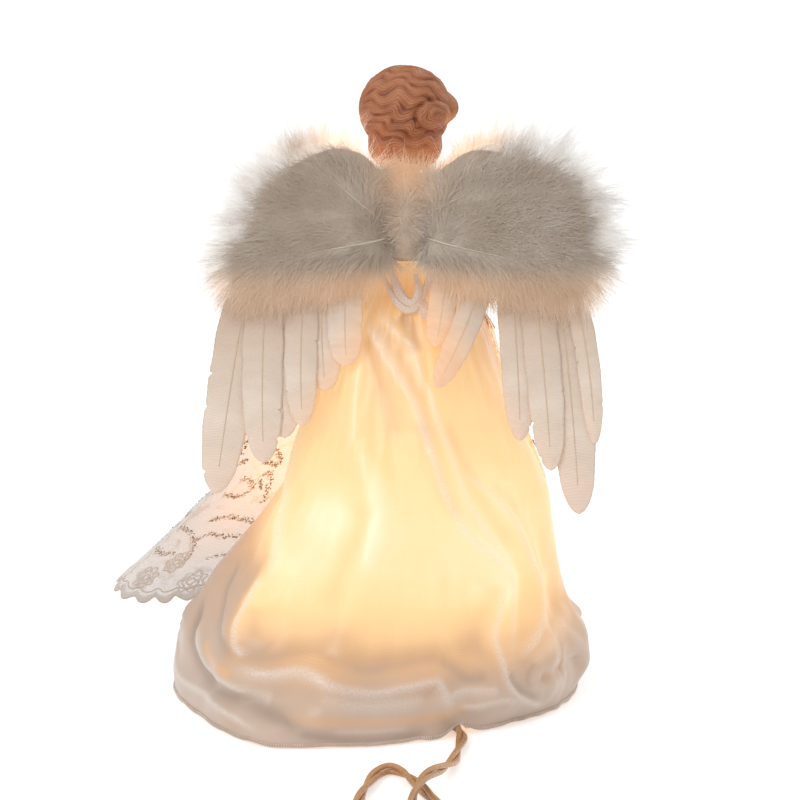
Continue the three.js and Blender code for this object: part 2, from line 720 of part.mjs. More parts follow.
// Arms: a bell sleeve hollow at the cuff, and a hand with its wrist in the cuff
function arm(figure, name, side) {
  const shoulder = SLEEVE_PATH.map(([x, y, z, r]) => [x + SHOULDER_REACH, y, z + SHOULDER_HEIGHT, r]);
  const outer = pathRings(mirrored(shoulder, side), 14);
  const cuff = outer.at(-1);
  const before = outer.at(-2);
  const middle = (ring) => [0, 1, 2].map((axis) => ring.reduce((sum, p) => sum + p[axis], 0) / ring.length);
  const towards = (from, to, share) => from.map((v, axis) => v + (to[axis] - v) * share);
  const thin = CUFF_WALL / SLEEVE_PATH.at(-1)[3];
  const lip = cuff.map((p) => towards(p, middle(cuff), thin));
  const floor = cuff.map((p, k) => towards(towards(p, before[k], 2 * CUFF_DEPTH), middle(before), thin));
  add(figure, `sleeve_${name}`, skin([...outer, lip, floor], 'point'), satin());
  const seat = middle(floor);
  const reach = Math.hypot(...middle(cuff).map((v, axis) => v - seat[axis]));
  const wrist = [...towards(seat, middle(cuff), (2 * FIT) / reach), WRIST_RADIUS];
  const hand = pathRings([wrist, ...mirrored(HAND_PATH, side)], 10);
  add(figure, `hand_${name}`, skin(hand, 'point'), porcelain());
}

// Front pad: its outline stretches outwards on the right wing, and upwards by its lift
function frontOutline(side, lift) {
  const stretch = side > 0 ? 1 : RIGHT_PAD_STRETCH;
  const [cx, cz] = WING_CENTRE;
  return PAD_OUTLINE.map(([x, z]) => [
    x > cx ? cx + (x - cx) * stretch : x,
    z > cz ? cz + (z - cz) * lift : z,
  ]);
}

function drawnIn(outline, side, share) {
  const [cx, cz] = WING_CENTRE;
  return outline.map(([x, z]) => [side * (cx + (x - cx) * share), cz + (z - cz) * share]);
}

// Wing pad: a dome of down over an outline, on one side of the card
function pad(outline, side, foot, depth) {
  const domeRings = [[0.96, 0], [1, 0.1], [0.9, 0.45], [0.68, 0.8], [0.36, 0.97]];
  const rings = domeRings.map(([share, rise]) =>
    drawnIn(outline, side, share).map(([x, z]) => [x, foot + depth * rise, z]));
  return skin(rings, 'point');
}

function featherDepth(height, layer) {
  const layerDepth = CARD_THICKNESS / 2 + FIT + FEATHER_QUILL / 2 + layer * (FEATHER_QUILL + FIT);
  return WING_DEPTH + layerDepth + FEATHER_BOW * (Math.max(0, -height) / FEATHER_BOW_DROP) ** 1.6;
}

// Feather: a thin vane, thickest along the quill, that bows away from the gown towards its tip
function feather(side, { root, belly, tip, width, layer, curl }) {
  const stations = [root, belly, tip].map(([x, z]) => new THREE.Vector2(x, z));
  const spine = new THREE.QuadraticBezierCurve(...stations);
  const rings = Array.from({ length: FEATHER_ROWS + 1 }, (_, i) => {
    const share = i / FEATHER_ROWS;
    const centre = spine.getPoint(share);
    const along = spine.getTangent(share);
    const full = THREE.MathUtils.lerp(FEATHER_ROOT_SHARE, 1, smooth(share / FEATHER_FULL_AT));
    const half = (width / 2) * Math.max(FEATHER_TIP_SHARE, full * Math.sqrt(1 - share ** 5));
    const at = (offset, lift) => {
      const x = centre.x - along.y * offset;
      const z = centre.y + along.x * offset;
      return [side * x, featherDepth(z, layer) + curl * share ** 3 + lift, z];
    };
    const quill = FEATHER_QUILL / 2;
    const edge = FEATHER_EDGE / 2;
    return [at(-half, edge), at(0, quill), at(half, edge), at(half, -edge), at(0, -quill), at(-half, -edge)];
  });
  return skin(rings, 'zip');
}

function wing(figure, name, side, feathers) {
  const shape = new THREE.Shape(drawnIn(frontOutline(side, 1), side, CARD_SHARE)
    .map(([x, z]) => new THREE.Vector2(x, z)));
  const plate = new THREE.ExtrudeGeometry(shape, { depth: CARD_THICKNESS, bevelEnabled: false });
  plate.rotateX(Math.PI / 2).translate(0, WING_DEPTH + CARD_THICKNESS / 2, 0);
  const inner = SPINE_HALF_WIDTH + 2 * FIT;
  const [x0, x1] = side > 0 ? [inner, WING_CENTRE[0]] : [-WING_CENTRE[0], -inner];
  const [y0, y1] = [WING_DEPTH - CARD_THICKNESS / 2, WING_DEPTH + CARD_THICKNESS / 2];
  const tab = box(x0, x1, y0, y1, SPINE_BOTTOM + FIT, SPINE_TOP - FIT);
  add(figure, `wing_card_${name}`, fromSolid(solid(plate).add(solid(tab))), material(0xd8cfc2, 0.9));
  const backFoot = featherDepth(0, 1) + FEATHER_QUILL / 2 + 2 * FIT;
  const backOutline = side > 0 ? BACK_LEFT_OUTLINE : BACK_RIGHT_OUTLINE;
  add(figure, `marabou_back_${name}`, pad(backOutline, side, backFoot, BACK_PAD_DEPTH), down());
  const frontPad = pad(frontOutline(side, FRONT_PAD_LIFT), side, y0 - FIT, -FRONT_PAD_DEPTH);
  add(figure, `marabou_front_${name}`, frontPad, down());
  feathers.forEach((shapeOf, i) => {
    add(figure, `feather_${name}_${i + 1}`, feather(side, shapeOf), goose());
  });
}

// Mounting block between the back of the bodice and the two wing cards
function wingSpine(figure) {
  const chest = Math.max(...TORSO_RINGS.map(([, , ry]) => ry));
  const front = chest + 2 * CLOTH_GAP + BODICE_THICKNESS;
  const back = WING_DEPTH + CARD_THICKNESS / 2;
  const block = box(-SPINE_HALF_WIDTH, SPINE_HALF_WIDTH, front, back, SPINE_BOTTOM, SPINE_TOP);
  add(figure, 'wing_spine', block, material(0xd9d2c6, 0.9));
}

// Lead: a free stretch, then a flat coil that spirals in, climbs a layer and spirals out to the plug
function leadCoil() {
  const [endX, endY, endZ] = LEAD_POINTS.at(-1);
  const start = [endX, endY + FIT, endZ];
  const straight = 2 * LEAD_RADIUS;
  const centre = [endX - COIL_RADIUS, endY + FIT + straight];
  const turns = 2 * COIL_LAYER_TURNS + COIL_CLIMB_TURNS;
  const layer = 2 * LEAD_RADIUS + COIL_LAYER_GAP;
  const steps = Math.round(turns * COIL_STEPS_PER_TURN);
  const points = [start];
  for (let i = 0; i <= steps; i++) {
    const done = (turns * i) / steps;
    const inward = Math.min(done, COIL_LAYER_TURNS);
    const outward = Math.max(0, done - COIL_LAYER_TURNS - COIL_CLIMB_TURNS);
    const radius = COIL_RADIUS - COIL_DRAW_IN * (inward - outward);
    const climb = smooth((done - COIL_LAYER_TURNS) / COIL_CLIMB_TURNS);
    const [x, y] = polar(360 * done, radius, 0);
    points.push([centre[0] + x, centre[1] + y, endZ + layer * climb]);
  }
  const [lastX, lastY, lastZ] = points.at(-1);
  const plugEnd = [lastX - TAIL_LENGTH, lastY, PLUG_FLOOR + PLUG_HEIGHT / 2];
  points.push([lastX - TAIL_LENGTH / 2, lastY, (lastZ + plugEnd[2]) / 2]);
  points.push([plugEnd[0] + straight, lastY, plugEnd[2]], plugEnd);
  return { points, plugEnd, steps: steps + 6 };
}

// Least gap between stretches of a tube that are more than a quarter of a turn apart along it
function leastSelfGap(points, radius) {
  const path = new THREE.CatmullRomCurve3(points.map((p) => new THREE.Vector3(...p)));
  const samples = path.getSpacedPoints(600);
  const length = path.getLength();
  const apart = Math.ceil((600 * COIL_RADIUS) / length);
  let least = Infinity;
  samples.forEach((a, i) => {
    for (let j = i + apart; j < samples.length; j++) least = Math.min(least, a.distanceTo(samples[j]));
  });
  return least - 2 * radius;
}

function lead() {
  add(angel, 'lead_cord', tube(LEAD_POINTS, LEAD_RADIUS, 8, LEAD_STEPS), ivoryWire());
  const { points, plugEnd, steps } = leadCoil();
  add(angel, 'lead_coil', tube(points, LEAD_RADIUS, 6, steps), ivoryWire());
  console.log(`least gap of the coil to itself: ${leastSelfGap(points, LEAD_RADIUS).toFixed(2)} mm`);
  return plugEnd;
}

// Plug: body with a gland, two blades, and a fuse under a door that slides out between the blades
function plug([endX, endY, endZ]) {
  const group = new THREE.Group();
  group.position.set(endX - FIT, endY, endZ);
  group.rotation.z = Math.PI;
  const shell = material(0xe6dcc8, 0.45);
  const [halfWidth, halfHeight] = [PLUG_WIDTH / 2, PLUG_HEIGHT / 2];
  const front = GLAND_LENGTH + PLUG_LENGTH;
  const section = new THREE.Shape();
  const [w, h] = [halfWidth - PLUG_CORNER, halfHeight - PLUG_CORNER];
  section.absarc(w, h, PLUG_CORNER, 0, Math.PI / 2);
  section.absarc(-w, h, PLUG_CORNER, Math.PI / 2, Math.PI);
  section.absarc(-w, -h, PLUG_CORNER, Math.PI, 1.5 * Math.PI);
  section.absarc(w, -h, PLUG_CORNER, 1.5 * Math.PI, 2 * Math.PI);
  const toLength = new THREE.Matrix4().makeBasis(
    new THREE.Vector3(0, 1, 0), new THREE.Vector3(0, 0, 1), new THREE.Vector3(1, 0, 0));
  const drawn = { depth: PLUG_LENGTH, bevelEnabled: false, curveSegments: 4 };
  const block = new THREE.ExtrudeGeometry(section, drawn);
  block.applyMatrix4(toLength).translate(GLAND_LENGTH, 0, 0);
  const gland = new THREE.CylinderGeometry(GLAND_RADIUS, LEAD_RADIUS + 1, 2 * GLAND_LENGTH, 16);
  gland.rotateZ(-Math.PI / 2).translate(GLAND_LENGTH, 0, 0);
  let body = solid(block).add(solid(gland));
  const bladeSlot = (x0, x1, y, grow) => box(
    x0, x1, y - BLADE_THICKNESS / 2 - grow, y + BLADE_THICKNESS / 2 + grow,
    -BLADE_DROP - BLADE_WIDTH / 2 - grow, -BLADE_DROP + BLADE_WIDTH / 2 + grow);
  for (const y of [-BLADE_SPACING / 2, BLADE_SPACING / 2]) {
    body = body.subtract(solid(bladeSlot(front - BLADE_SEAT - FIT, front + BLADE_SEAT, y, FIT)));
  }
  const doorFoot = halfHeight - DOOR_THICKNESS;
  const doorBack = front - DOOR_LENGTH;
  const doorHalf = DOOR_WIDTH / 2;
  body = body.subtract(solid(box(
    doorBack - FIT, front + DOOR_LENGTH, -doorHalf - FIT, doorHalf + FIT, doorFoot - FIT, PLUG_HEIGHT)));
  const fuseMiddle = doorBack + DOOR_LENGTH / 2;
  const fuseDrop = doorFoot - FIT - FUSE_CAP_RADIUS;
  const fuseHalf = FUSE_LENGTH / 2 + FIT;
  const pocketHalf = FUSE_CAP_RADIUS + FIT;
  body = body.subtract(solid(box(fuseMiddle - fuseHalf, fuseMiddle + fuseHalf, -pocketHalf, pocketHalf,
    fuseDrop - pocketHalf, doorFoot)));
  add(group, 'plug_body', fromSolid(body), shell);
  [-1, 1].forEach((side, i) => {
    const blade = bladeSlot(front - BLADE_SEAT, front + BLADE_LENGTH, (side * BLADE_SPACING) / 2, 0);
    add(group, `plug_blade_${i + 1}`, blade, material(0xc9b37a, 0.3, 0.9));
  });
  const door = box(doorBack, front, -doorHalf, doorHalf, doorFoot, halfHeight);
  add(group, 'fuse_door', door, material(0xe6dcc8, 0.45));
  const fuseProfile = [
    [0, -FUSE_LENGTH / 2],
    [FUSE_CAP_RADIUS, -FUSE_LENGTH / 2],
    [FUSE_CAP_RADIUS, -FUSE_LENGTH / 2 + FUSE_CAP_LENGTH],
    [FUSE_RADIUS, -FUSE_LENGTH / 2 + FUSE_CAP_LENGTH],
    [FUSE_RADIUS, FUSE_LENGTH / 2 - FUSE_CAP_LENGTH],
    [FUSE_CAP_RADIUS, FUSE_LENGTH / 2 - FUSE_CAP_LENGTH],
    [FUSE_CAP_RADIUS, FUSE_LENGTH / 2],
    [0, FUSE_LENGTH / 2],
  ];
  const fuse = lathe(fuseProfile, 12).rotateY(Math.PI / 2).translate(fuseMiddle, 0, fuseDrop);
  add(group, 'fuse', fuse, material(0xd8dcd6, 0.2, 0.3));
  angel.add(group);
}

function figure() {
  const group = new THREE.Group();
  group.position.z = CONE_HEIGHT;
  body(group);
  head(group);
  arm(group, 'left', 1);
  arm(group, 'right', -1);
  wingSpine(group);
  wing(group, 'left', 1, LEFT_FEATHERS);
  wing(group, 'right', -1, RIGHT_FEATHERS);
  angel.add(group);
}

supportCone();
lamps();
harness();
skirt();
lace();
figure();
plug(lead());

export default angel;
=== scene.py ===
"""Lighted angel tree topper, dressed: satin gown, lace panel, feather wings, moulded hair, lamps and lead.
The angel faces -Y, its left is +X, and the photograph looks at its back from +Y. Shapes are worked out in
millimetres and put into the meshes in metres."""
from collections import namedtuple
import bpy
import numpy as np
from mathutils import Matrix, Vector


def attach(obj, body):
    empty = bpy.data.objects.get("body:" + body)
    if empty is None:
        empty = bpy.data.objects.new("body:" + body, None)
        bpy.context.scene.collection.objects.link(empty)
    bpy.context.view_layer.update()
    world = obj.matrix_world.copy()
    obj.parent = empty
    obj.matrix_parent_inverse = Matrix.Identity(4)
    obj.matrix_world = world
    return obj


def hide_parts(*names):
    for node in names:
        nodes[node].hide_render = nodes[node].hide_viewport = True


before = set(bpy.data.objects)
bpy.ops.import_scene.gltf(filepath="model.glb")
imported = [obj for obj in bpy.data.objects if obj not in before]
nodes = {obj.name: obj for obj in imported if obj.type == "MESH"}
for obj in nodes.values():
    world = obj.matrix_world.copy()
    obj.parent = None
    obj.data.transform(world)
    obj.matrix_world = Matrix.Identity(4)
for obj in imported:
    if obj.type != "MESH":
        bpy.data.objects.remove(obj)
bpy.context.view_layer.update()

# Stand: a plain white floor under soft light, seen from a little above behind the angel.
# The camera stands 1.2 m off with a long lens, which gives the photograph's flat perspective.
VIEW_FROM, VIEW_AT = Vector((0.002, 1.1738, 0.3695)), Vector((0.002, 0.0, 0.120))
LENS = 134.8
SKY_LIGHT = 0.62
# Lights: name, watts, place and width
LIGHTS = [("key_light", 8.0, (0.75, 1.1, 1.15), 0.9), ("fill_light", 3.0, (-1.0, -0.6, 0.9), 1.2)]
FLOOR_HALF, FLOOR_DROP, FLOOR_LIGHT = 6000.0, -0.3, 0.45
WHITE, BLACK = (1.0, 1.0, 1.0), (0.0, 0.0, 0.0)
MM = 0.001


def mesh_object(name, points, quads):
    """Mesh of points in millimetres, rows of three, and faces of four corners, with rounded shading."""
    mesh = bpy.data.meshes.new(name)
    mesh.from_pydata(np.asarray(points, float).reshape(-1, 3) * MM, [], quads)
    mesh.polygons.foreach_set("use_smooth", np.ones(len(mesh.polygons), bool))
    mesh.update()
    thing = bpy.data.objects.new(name, mesh)
    bpy.context.scene.collection.objects.link(thing)
    return thing


def stacked(*parts):
    """Coordinates put together as points. Each is one number for all of the points, or a grid of numbers."""
    return np.stack(np.broadcast_arrays(*parts), -1)


def feed(tree, node, sockets):
    """Sets or links a node's sockets by name or number."""
    for socket, value in sockets.items():
        if isinstance(value, bpy.types.NodeSocket):
            tree.links.new(value, node.inputs[socket])
        else:
            node.inputs[socket].default_value = value
    return node


def put(tree, kind, sockets=None, **settings):
    """Adds a node, sets its options and feeds its sockets."""
    node = tree.nodes.new("ShaderNode" + kind)
    for option, value in settings.items():
        setattr(node, option, value)
    return feed(tree, node, sockets or {})


def finish_of(name, color, roughness, metallic=0.0):
    """A new finish with its colour, roughness and metalness set on the shader's own sockets."""
    finish = bpy.data.materials.new(name)
    finish.use_nodes = True
    tree = finish.node_tree
    shader = tree.nodes["Principled BSDF"]
    feed(tree, shader, {"Base Color": (*color, 1), "Roughness": roughness, "Metallic": metallic})
    return finish, tree, shader


def sums(tree, operation, *values, clamp=False):
    """Result of an operation on two or three values."""
    return put(tree, "Math", dict(enumerate(values)), operation=operation, use_clamp=clamp).outputs[0]


def remap(tree, value, to, given=(0.0, 1.0)):
    """A value carried evenly from a given range to another."""
    sockets = {"Value": value, "From Min": given[0], "From Max": given[1], "To Min": to[0], "To Max": to[1]}
    return put(tree, "MapRange", sockets).outputs[0]


def camera_sees(tree):
    """1 on rays from the camera and on what mirrors and glass show it, 0 on rays that light the object."""
    path = put(tree, "LightPath").outputs
    seen = sums(tree, "MAXIMUM", path["Is Camera Ray"], path["Is Glossy Ray"])
    return sums(tree, "MAXIMUM", seen, path["Is Transmission Ray"])


scene = bpy.context.scene
scene.view_settings.view_transform = "Standard"


def aimed(name, data, place):
    """A camera or light at a place, turned to the middle of the view."""
    thing = bpy.data.objects.new(name, data)
    thing.location = place
    thing.rotation_euler = (VIEW_AT - Vector(place)).to_track_quat("-Z", "Y").to_euler()
    scene.collection.objects.link(thing)
    return thing


scene.camera = aimed("camera", bpy.data.cameras.new("camera"), VIEW_FROM)
scene.camera.data.lens = LENS
for lamp_name, watts, place, width in LIGHTS:
    lamp = bpy.data.lights.new(lamp_name, "AREA")
    lamp.energy, lamp.size = watts, width
    aimed(lamp_name, lamp, place)

scene.world = bpy.data.worlds.new("studio")
scene.world.use_nodes = True
sky = scene.world.node_tree
sky_strength = remap(sky, camera_sees(sky), (SKY_LIGHT, 1.0))
feed(sky, sky.nodes["Background"], {"Color": (*WHITE, 1), "Strength": sky_strength})

corner = np.array([[-1, -1], [1, -1], [1, 1], [-1, 1]]) * FLOOR_HALF
floor = mesh_object("floor", stacked(*corner.T, FLOOR_DROP), [[0, 1, 2, 3]])
white_floor, floor_tree, floor_shader = finish_of("white_floor", (0.93, 0.93, 0.93), 0.9)
floor_glow = remap(floor_tree, camera_sees(floor_tree), (0.0, FLOOR_LIGHT))
feed(floor_tree, floor_shader, {"Emission Color": (*WHITE, 1), "Emission Strength": floor_glow})
floor.data.materials.append(white_floor)

# Support cone and body former: blow-moulded milky plastic, which slips over the tip of a tree.
# The cone shows only from below, and both keep their CAD shapes with a moulded finish.
CONE_HEIGHT, CONE_BASE_RADIUS, CONE_TOP_RADIUS, CONE_WALL = 172.0, 54.0, 11.0, 1.6
GRAIN_DEPTH = 0.0002


def ramp(tree, amount, stops):
    """Colour ramp through (place, colour) stops, read at an amount."""
    node = put(tree, "ValToRGB", {"Fac": amount})
    band = node.color_ramp.elements
    while len(band) < len(stops):
        band.new(0.5)
    for element, (place, color) in zip(band, stops):
        element.position = place
        element.color = (*color, 1)
    return node.outputs["Color"]


def noise(tree, place, scale, detail, distortion=0.0):
    """Value of a noise texture at a place."""
    sockets = {"Vector": place, "Scale": scale, "Detail": detail, "Distortion": distortion}
    return put(tree, "TexNoise", sockets).outputs["Fac"]


def raised(tree, height, strength, depth, under=None):
    """Shading of a surface raised up to a depth in metres, over the shading of what lies under it."""
    sockets = {"Height": height, "Strength": strength, "Distance": depth}
    return put(tree, "Bump", {**sockets, "Normal": under} if under else sockets).outputs[0]


def moulded(name, dark, light, roughness, grain=900.0, relief=0.12, metallic=0.0, glow=BLACK, strength=0.0):
    """Moulded or drawn finish: two close tones and a fine grain, both from noise in the part's own frame, and
    any light that it gives off."""
    finish, tree, shader = finish_of(name, light, roughness, metallic)
    place = put(tree, "TexCoord").outputs["Object"]
    fine = noise(tree, place, grain, 3.0)
    feed(tree, shader, {
        "Base Color": ramp(tree, noise(tree, place, grain / 9, 4.0), [(0.3, dark), (0.7, light)]),
        "Roughness": remap(tree, fine, (roughness - 0.08, roughness + 0.1)),
        "Normal": raised(tree, fine, relief, GRAIN_DEPTH),
        "Emission Color": (*glow, 1), "Emission Strength": strength})
    return finish


def dress(finish, *names):
    """Puts one finish on every slot of CAD nodes that keep their shapes."""
    for name in names:
        slots = nodes[name].data.materials
        for i in range(len(slots)):
            slots[i] = finish


# The milky plastic gives off a faint warm painted glow, standing in for the light of the lamps inside it.
milky_plastic = moulded("milky_plastic", (0.72, 0.62, 0.47), (0.84, 0.76, 0.62), 0.42,
                        glow=(1.0, 0.62, 0.28), strength=0.25)
dress(milky_plastic, "support_cone", "torso")

# Lamps: ten push-in holders of moulded ivory plastic with clear miniature bulbs that light the gown.
# They stand square to the cone's wall in rows that climb as the wire does.
LAMP_ROWS = [(4, 50.0, 0.0, 125.0), (3, 76.0, 0.0, 536.0), (3, 104.0, 14.0, 897.0)]
LAMP_COUNT = 10
BULB_MIDDLE = 6.5

cone_lean = np.arctan2(CONE_BASE_RADIUS - CONE_TOP_RADIUS, CONE_HEIGHT)
lamp_turns = np.concatenate([first + 360 / count * np.arange(count) for count, _, _, first in LAMP_ROWS])
lamp_heights = np.concatenate([height + climb * np.arange(count) for count, height, climb, _ in LAMP_ROWS])


def polar(turn, radius, height):
    """Points at turns in degrees, distances from the axis and heights."""
    angle = np.radians(turn)
    return stacked(radius * np.cos(angle), radius * np.sin(angle), height)


def cone_radius(height):
    """Outer radius of the cone, straight from its base to its mouth."""
    return CONE_BASE_RADIUS + (CONE_TOP_RADIUS - CONE_BASE_RADIUS) * height / CONE_HEIGHT


lamp_places = polar(lamp_turns, cone_radius(lamp_heights) - CONE_WALL / 2, lamp_heights)
lamp_out = polar(lamp_turns, np.cos(cone_lean), np.sin(cone_lean))
lamp_glass = lamp_places + BULB_MIDDLE * lamp_out

holder_plastic = moulded("holder_plastic", (0.70, 0.66, 0.54), (0.80, 0.77, 0.66), 0.5)
lit_glass = moulded("lit_glass", (0.95, 0.80, 0.50), (1.0, 0.88, 0.62), 0.12, relief=0.02,
                    glow=(1.0, 0.72, 0.36), strength=2.2)
dress(holder_plastic, *(f"lamp_socket_{i + 1}" for i in range(LAMP_COUNT)))
dress(lit_glass, *(f"lamp_bulb_{i + 1}" for i in range(LAMP_COUNT)))

# Wire inside the cone: one insulated wire that passes under every lamp holder and lies along the wall
# between them. It is soft, so a smooth round wire takes the place of the CAD solid.
WIRE_RADIUS, WIRE_GAP, WIRE_STATION, WIRE_SPAN = 1.1, 0.7, 9.0, 28.0
HOLDER_RADIUS = 3.6
FIT = 0.3
NOTCH_TURN = 109.0
LEAD_START = np.array([-14.9, 43.5, 2.6])
LEVEL, BACKWARD = (0.0, 0.0, 1.0), (0.0, 1.0, 0.0)


def length_along(path):
    """Distance along a path to each of its points."""
    return np.concatenate([[0], np.cumsum(np.linalg.norm(np.diff(path, axis=0), axis=1))])


def flowing(points, count):
    """Catmull-Rom curve through points, flat or in space, as a number of points evenly spaced by length."""
    points = np.asarray(points, float)
    ends = np.vstack([2 * points[0] - points[1], points, 2 * points[-1] - points[-2]])
    share = np.linspace(0, len(points) - 1, 24 * len(points))
    span = np.minimum(share.astype(int), len(points) - 2)
    t = (share - span)[:, None]
    a, b, c, d = (ends[span + k] for k in range(4))
    curve = 0.5 * (2 * b + (c - a) * t + (2 * a - 5 * b + 4 * c - d) * t**2 + (3 * b - a - 3 * c + d) * t**3)
    along = length_along(curve)
    even = np.linspace(0, along[-1], count)
    return stacked(*(np.interp(even, along, axis) for axis in curve.T))


def unit(vectors):
    """Vectors at length one."""
    return vectors / np.maximum(np.linalg.norm(vectors, axis=-1, keepdims=True), 1e-9)


def square_frame(path, up=LEVEL):
    """Two directions square to a path at each point: one across the up direction, and one that rises."""
    along = unit(np.gradient(path, axis=0))
    across = unit(np.cross(up, along))
    return across, np.cross(along, across)


def around(sides):
    """Angles of points evenly spaced round a circle."""
    return np.linspace(0, 2 * np.pi, sides, endpoint=False)


def tube(path, first, second, sides, up=LEVEL):
    """Rings along a path: its points plus one radius times the cosine across and another times the sine
    upwards. A radius is one number, a column with one for each point, or a grid."""
    across, rise = square_frame(path, up)
    ring = (first * np.cos(around(sides)))[..., None] * across[:, None]
    return path[:, None] + ring + (second * np.sin(around(sides)))[..., None] * rise[:, None]


def grid_quads(rows, columns, ring=False, loop=False, start=0):
    """Faces between neighbours of a grid stored row by row. A ring closes each row, a loop joins the last row
    to the first."""
    row = np.arange(rows if loop else rows - 1)
    column = np.arange(columns if ring else columns - 1)
    a, b = np.meshgrid(row, column, indexing="ij")
    below, beside = (a + 1) % rows, (b + 1) % columns
    corners = [a * columns + b, a * columns + beside, below * columns + beside, below * columns + b]
    return start + np.stack(corners, -1).reshape(-1, 4)


def joined(name, grids, ring=True, loop=False):
    """One mesh of several grids of points, each turned so that its faces look away from its own middle."""
    points, quads, start = [], [], 0
    for grid in grids:
        faces = grid_quads(grid.shape[0], grid.shape[1], ring, loop)
        flat = grid.reshape(-1, 3)
        a, b, c = (flat[faces[:, k]] - flat.mean(0) for k in range(3))
        if np.sum(a * np.cross(b, c)) < 0:
            faces = faces[:, ::-1]
        points.append(flat)
        quads.append(faces + start)
        start += len(flat)
    return mesh_object(name, np.concatenate(points), np.concatenate(quads))


def closed_ends(grid):
    """Draws the first and last ring of a tube to their middles, so that its ends are closed."""
    first = np.repeat(grid[:1].mean(1, keepdims=True), grid.shape[1], 1)
    last = np.repeat(grid[-1:].mean(1, keepdims=True), grid.shape[1], 1)
    return np.concatenate([first, grid, last])


def wire(path, radius, sides, up=LEVEL):
    """A round wire along a path, with closed ends."""
    return closed_ends(tube(path, radius, radius, sides, up))


def piece(thing, finish, body, slot, *stands_for):
    """Gives a piece its finish and its body, and hides the CAD nodes whose place it takes. Its slot is not
    used.
    """
    thing.data.materials.append(finish)
    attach(thing, body)
    if stands_for:
        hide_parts(*stands_for)
    return thing


def harness_route():
    """Route from the notch up the wall, under each lamp holder, and along the wall between two holders."""
    wall = (CONE_WALL + WIRE_RADIUS + WIRE_GAP) / np.cos(cone_lean)
    drop = HOLDER_RADIUS + WIRE_RADIUS + FIT
    down = polar(lamp_turns, np.sin(cone_lean), -np.cos(cone_lean))
    under = lamp_places - WIRE_STATION * lamp_out + drop * down
    reach = np.hypot(*LEAD_START[:2])
    height = lamp_heights[0] / 2
    route = [LEAD_START * [1 - FIT / reach, 1 - FIT / reach, 1],
             polar(NOTCH_TURN - 1, reach - 6, LEAD_START[2] + 2),
             polar(NOTCH_TURN + 1, cone_radius(height) - wall, height), under[0]]
    for i in range(LAMP_COUNT - 1):
        turns, climb = lamp_turns[i + 1] - lamp_turns[i], lamp_heights[i + 1] - lamp_heights[i]
        spans = max(2, round(turns / WIRE_SPAN))
        share = np.arange(1, spans) / spans
        height = lamp_heights[i] + climb * share - drop
        route.extend(polar(lamp_turns[i] + turns * share, cone_radius(height) - wall, height))
        route.append(under[i + 1])
    return np.array(route)


ivory_wire = moulded("ivory_wire", (0.45, 0.228, 0.1), (0.65, 0.36, 0.165), 0.27, grain=520.0)
inner_wire = joined("inner_wire", [wire(flowing(harness_route(), 700), WIRE_RADIUS, 10)])
piece(inner_wire, ivory_wire, "base", "wire", "harness")

# Lead: two ivory wires loosely twisted together, out through the notch and under the hem, then over the
# floor in one loop to a small tied coil that lies outside the picture, and to the plug.
LEAD_DIAMETER, LEAD_LAY = 4.4, 62.0
LEAD_WIRE_RADIUS, LEAD_WIRE_OFFSET = 1.12, 1.15
LEAD_POINTS = np.array([
    LEAD_START, [-17.6, 52, 2.5], [-20.4, 60, 2.4], [-21.8, 67, 2.3], [-21.5, 77, 2.3], [-20, 88.5, 2.3],
    [-18.3, 99, 2.6], [-16, 109, 3.8], [-13.2, 117.5, 5.4], [-10, 125, 6.8], [-7, 133, 7.5], [-5, 140, 7.2],
    [-3, 148, 6], [-2.5, 157, 4.4], [-5.5, 165.5, 3], [-12, 168.5, 2.3], [-17, 163.5, 2.3], [-17, 155, 2.3],
    [-13.5, 147.5, 2.3], [-9.8, 140.5, 2.3], [-6.6, 132, 2.3], [-3.4, 122.5, 2.3], [0.4, 113.2, 2.3],
    [6, 108.2, 2.3], [11, 114.8, 2.3], [13.8, 126.5, 2.3], [16, 137, 2.3], [17.2, 150, 2.3], [16.8, 165, 2.3],
    [16.2, 182, 2.3], [16, 197, 2.3], [16, 205, 2.3],
])
COIL_RADIUS, COIL_DRAW_IN, COIL_LAYER, COIL_POINTS = 27.0, 5.8, 5.1, 54
COIL_LAYER_TURNS, COIL_CLIMB_TURNS = 0.875, 0.5
TAIL_LENGTH, PLUG_END_HEIGHT = 30.0, 7.2


def eased(amount):
    """Smooth step from 0 to 1."""
    t = np.clip(amount, 0, 1)
    return t * t * (3 - 2 * t)


def rising(value, start, width):
    """0 up to a start, and smoothly up to 1 over a width. Below 0, the width runs downwards."""
    return eased((value - start) / width)


def coil_route():
    """Flat spiral that winds in, climbs a layer over half a turn and winds out again, and the run to the
    plug."""
    start = LEAD_POINTS[-1] + [0, FIT + LEAD_DIAMETER, 0]
    turns = np.linspace(0, 2 * COIL_LAYER_TURNS + COIL_CLIMB_TURNS, COIL_POINTS)
    inward = np.minimum(turns, COIL_LAYER_TURNS)
    outward = np.maximum(0, turns - COIL_LAYER_TURNS - COIL_CLIMB_TURNS)
    radius = COIL_RADIUS - COIL_DRAW_IN * (inward - outward)
    climb = COIL_LAYER * rising(turns, COIL_LAYER_TURNS, COIL_CLIMB_TURNS)
    spiral = polar(360 * turns, radius, climb) + start - [COIL_RADIUS, 0, 0]
    last = spiral[-1]
    plug_end = np.array([last[0] - TAIL_LENGTH, last[1], PLUG_END_HEIGHT])
    middle = (last + plug_end) / 2
    return np.vstack([spiral, middle, plug_end + [LEAD_DIAMETER, 0, 0], plug_end])


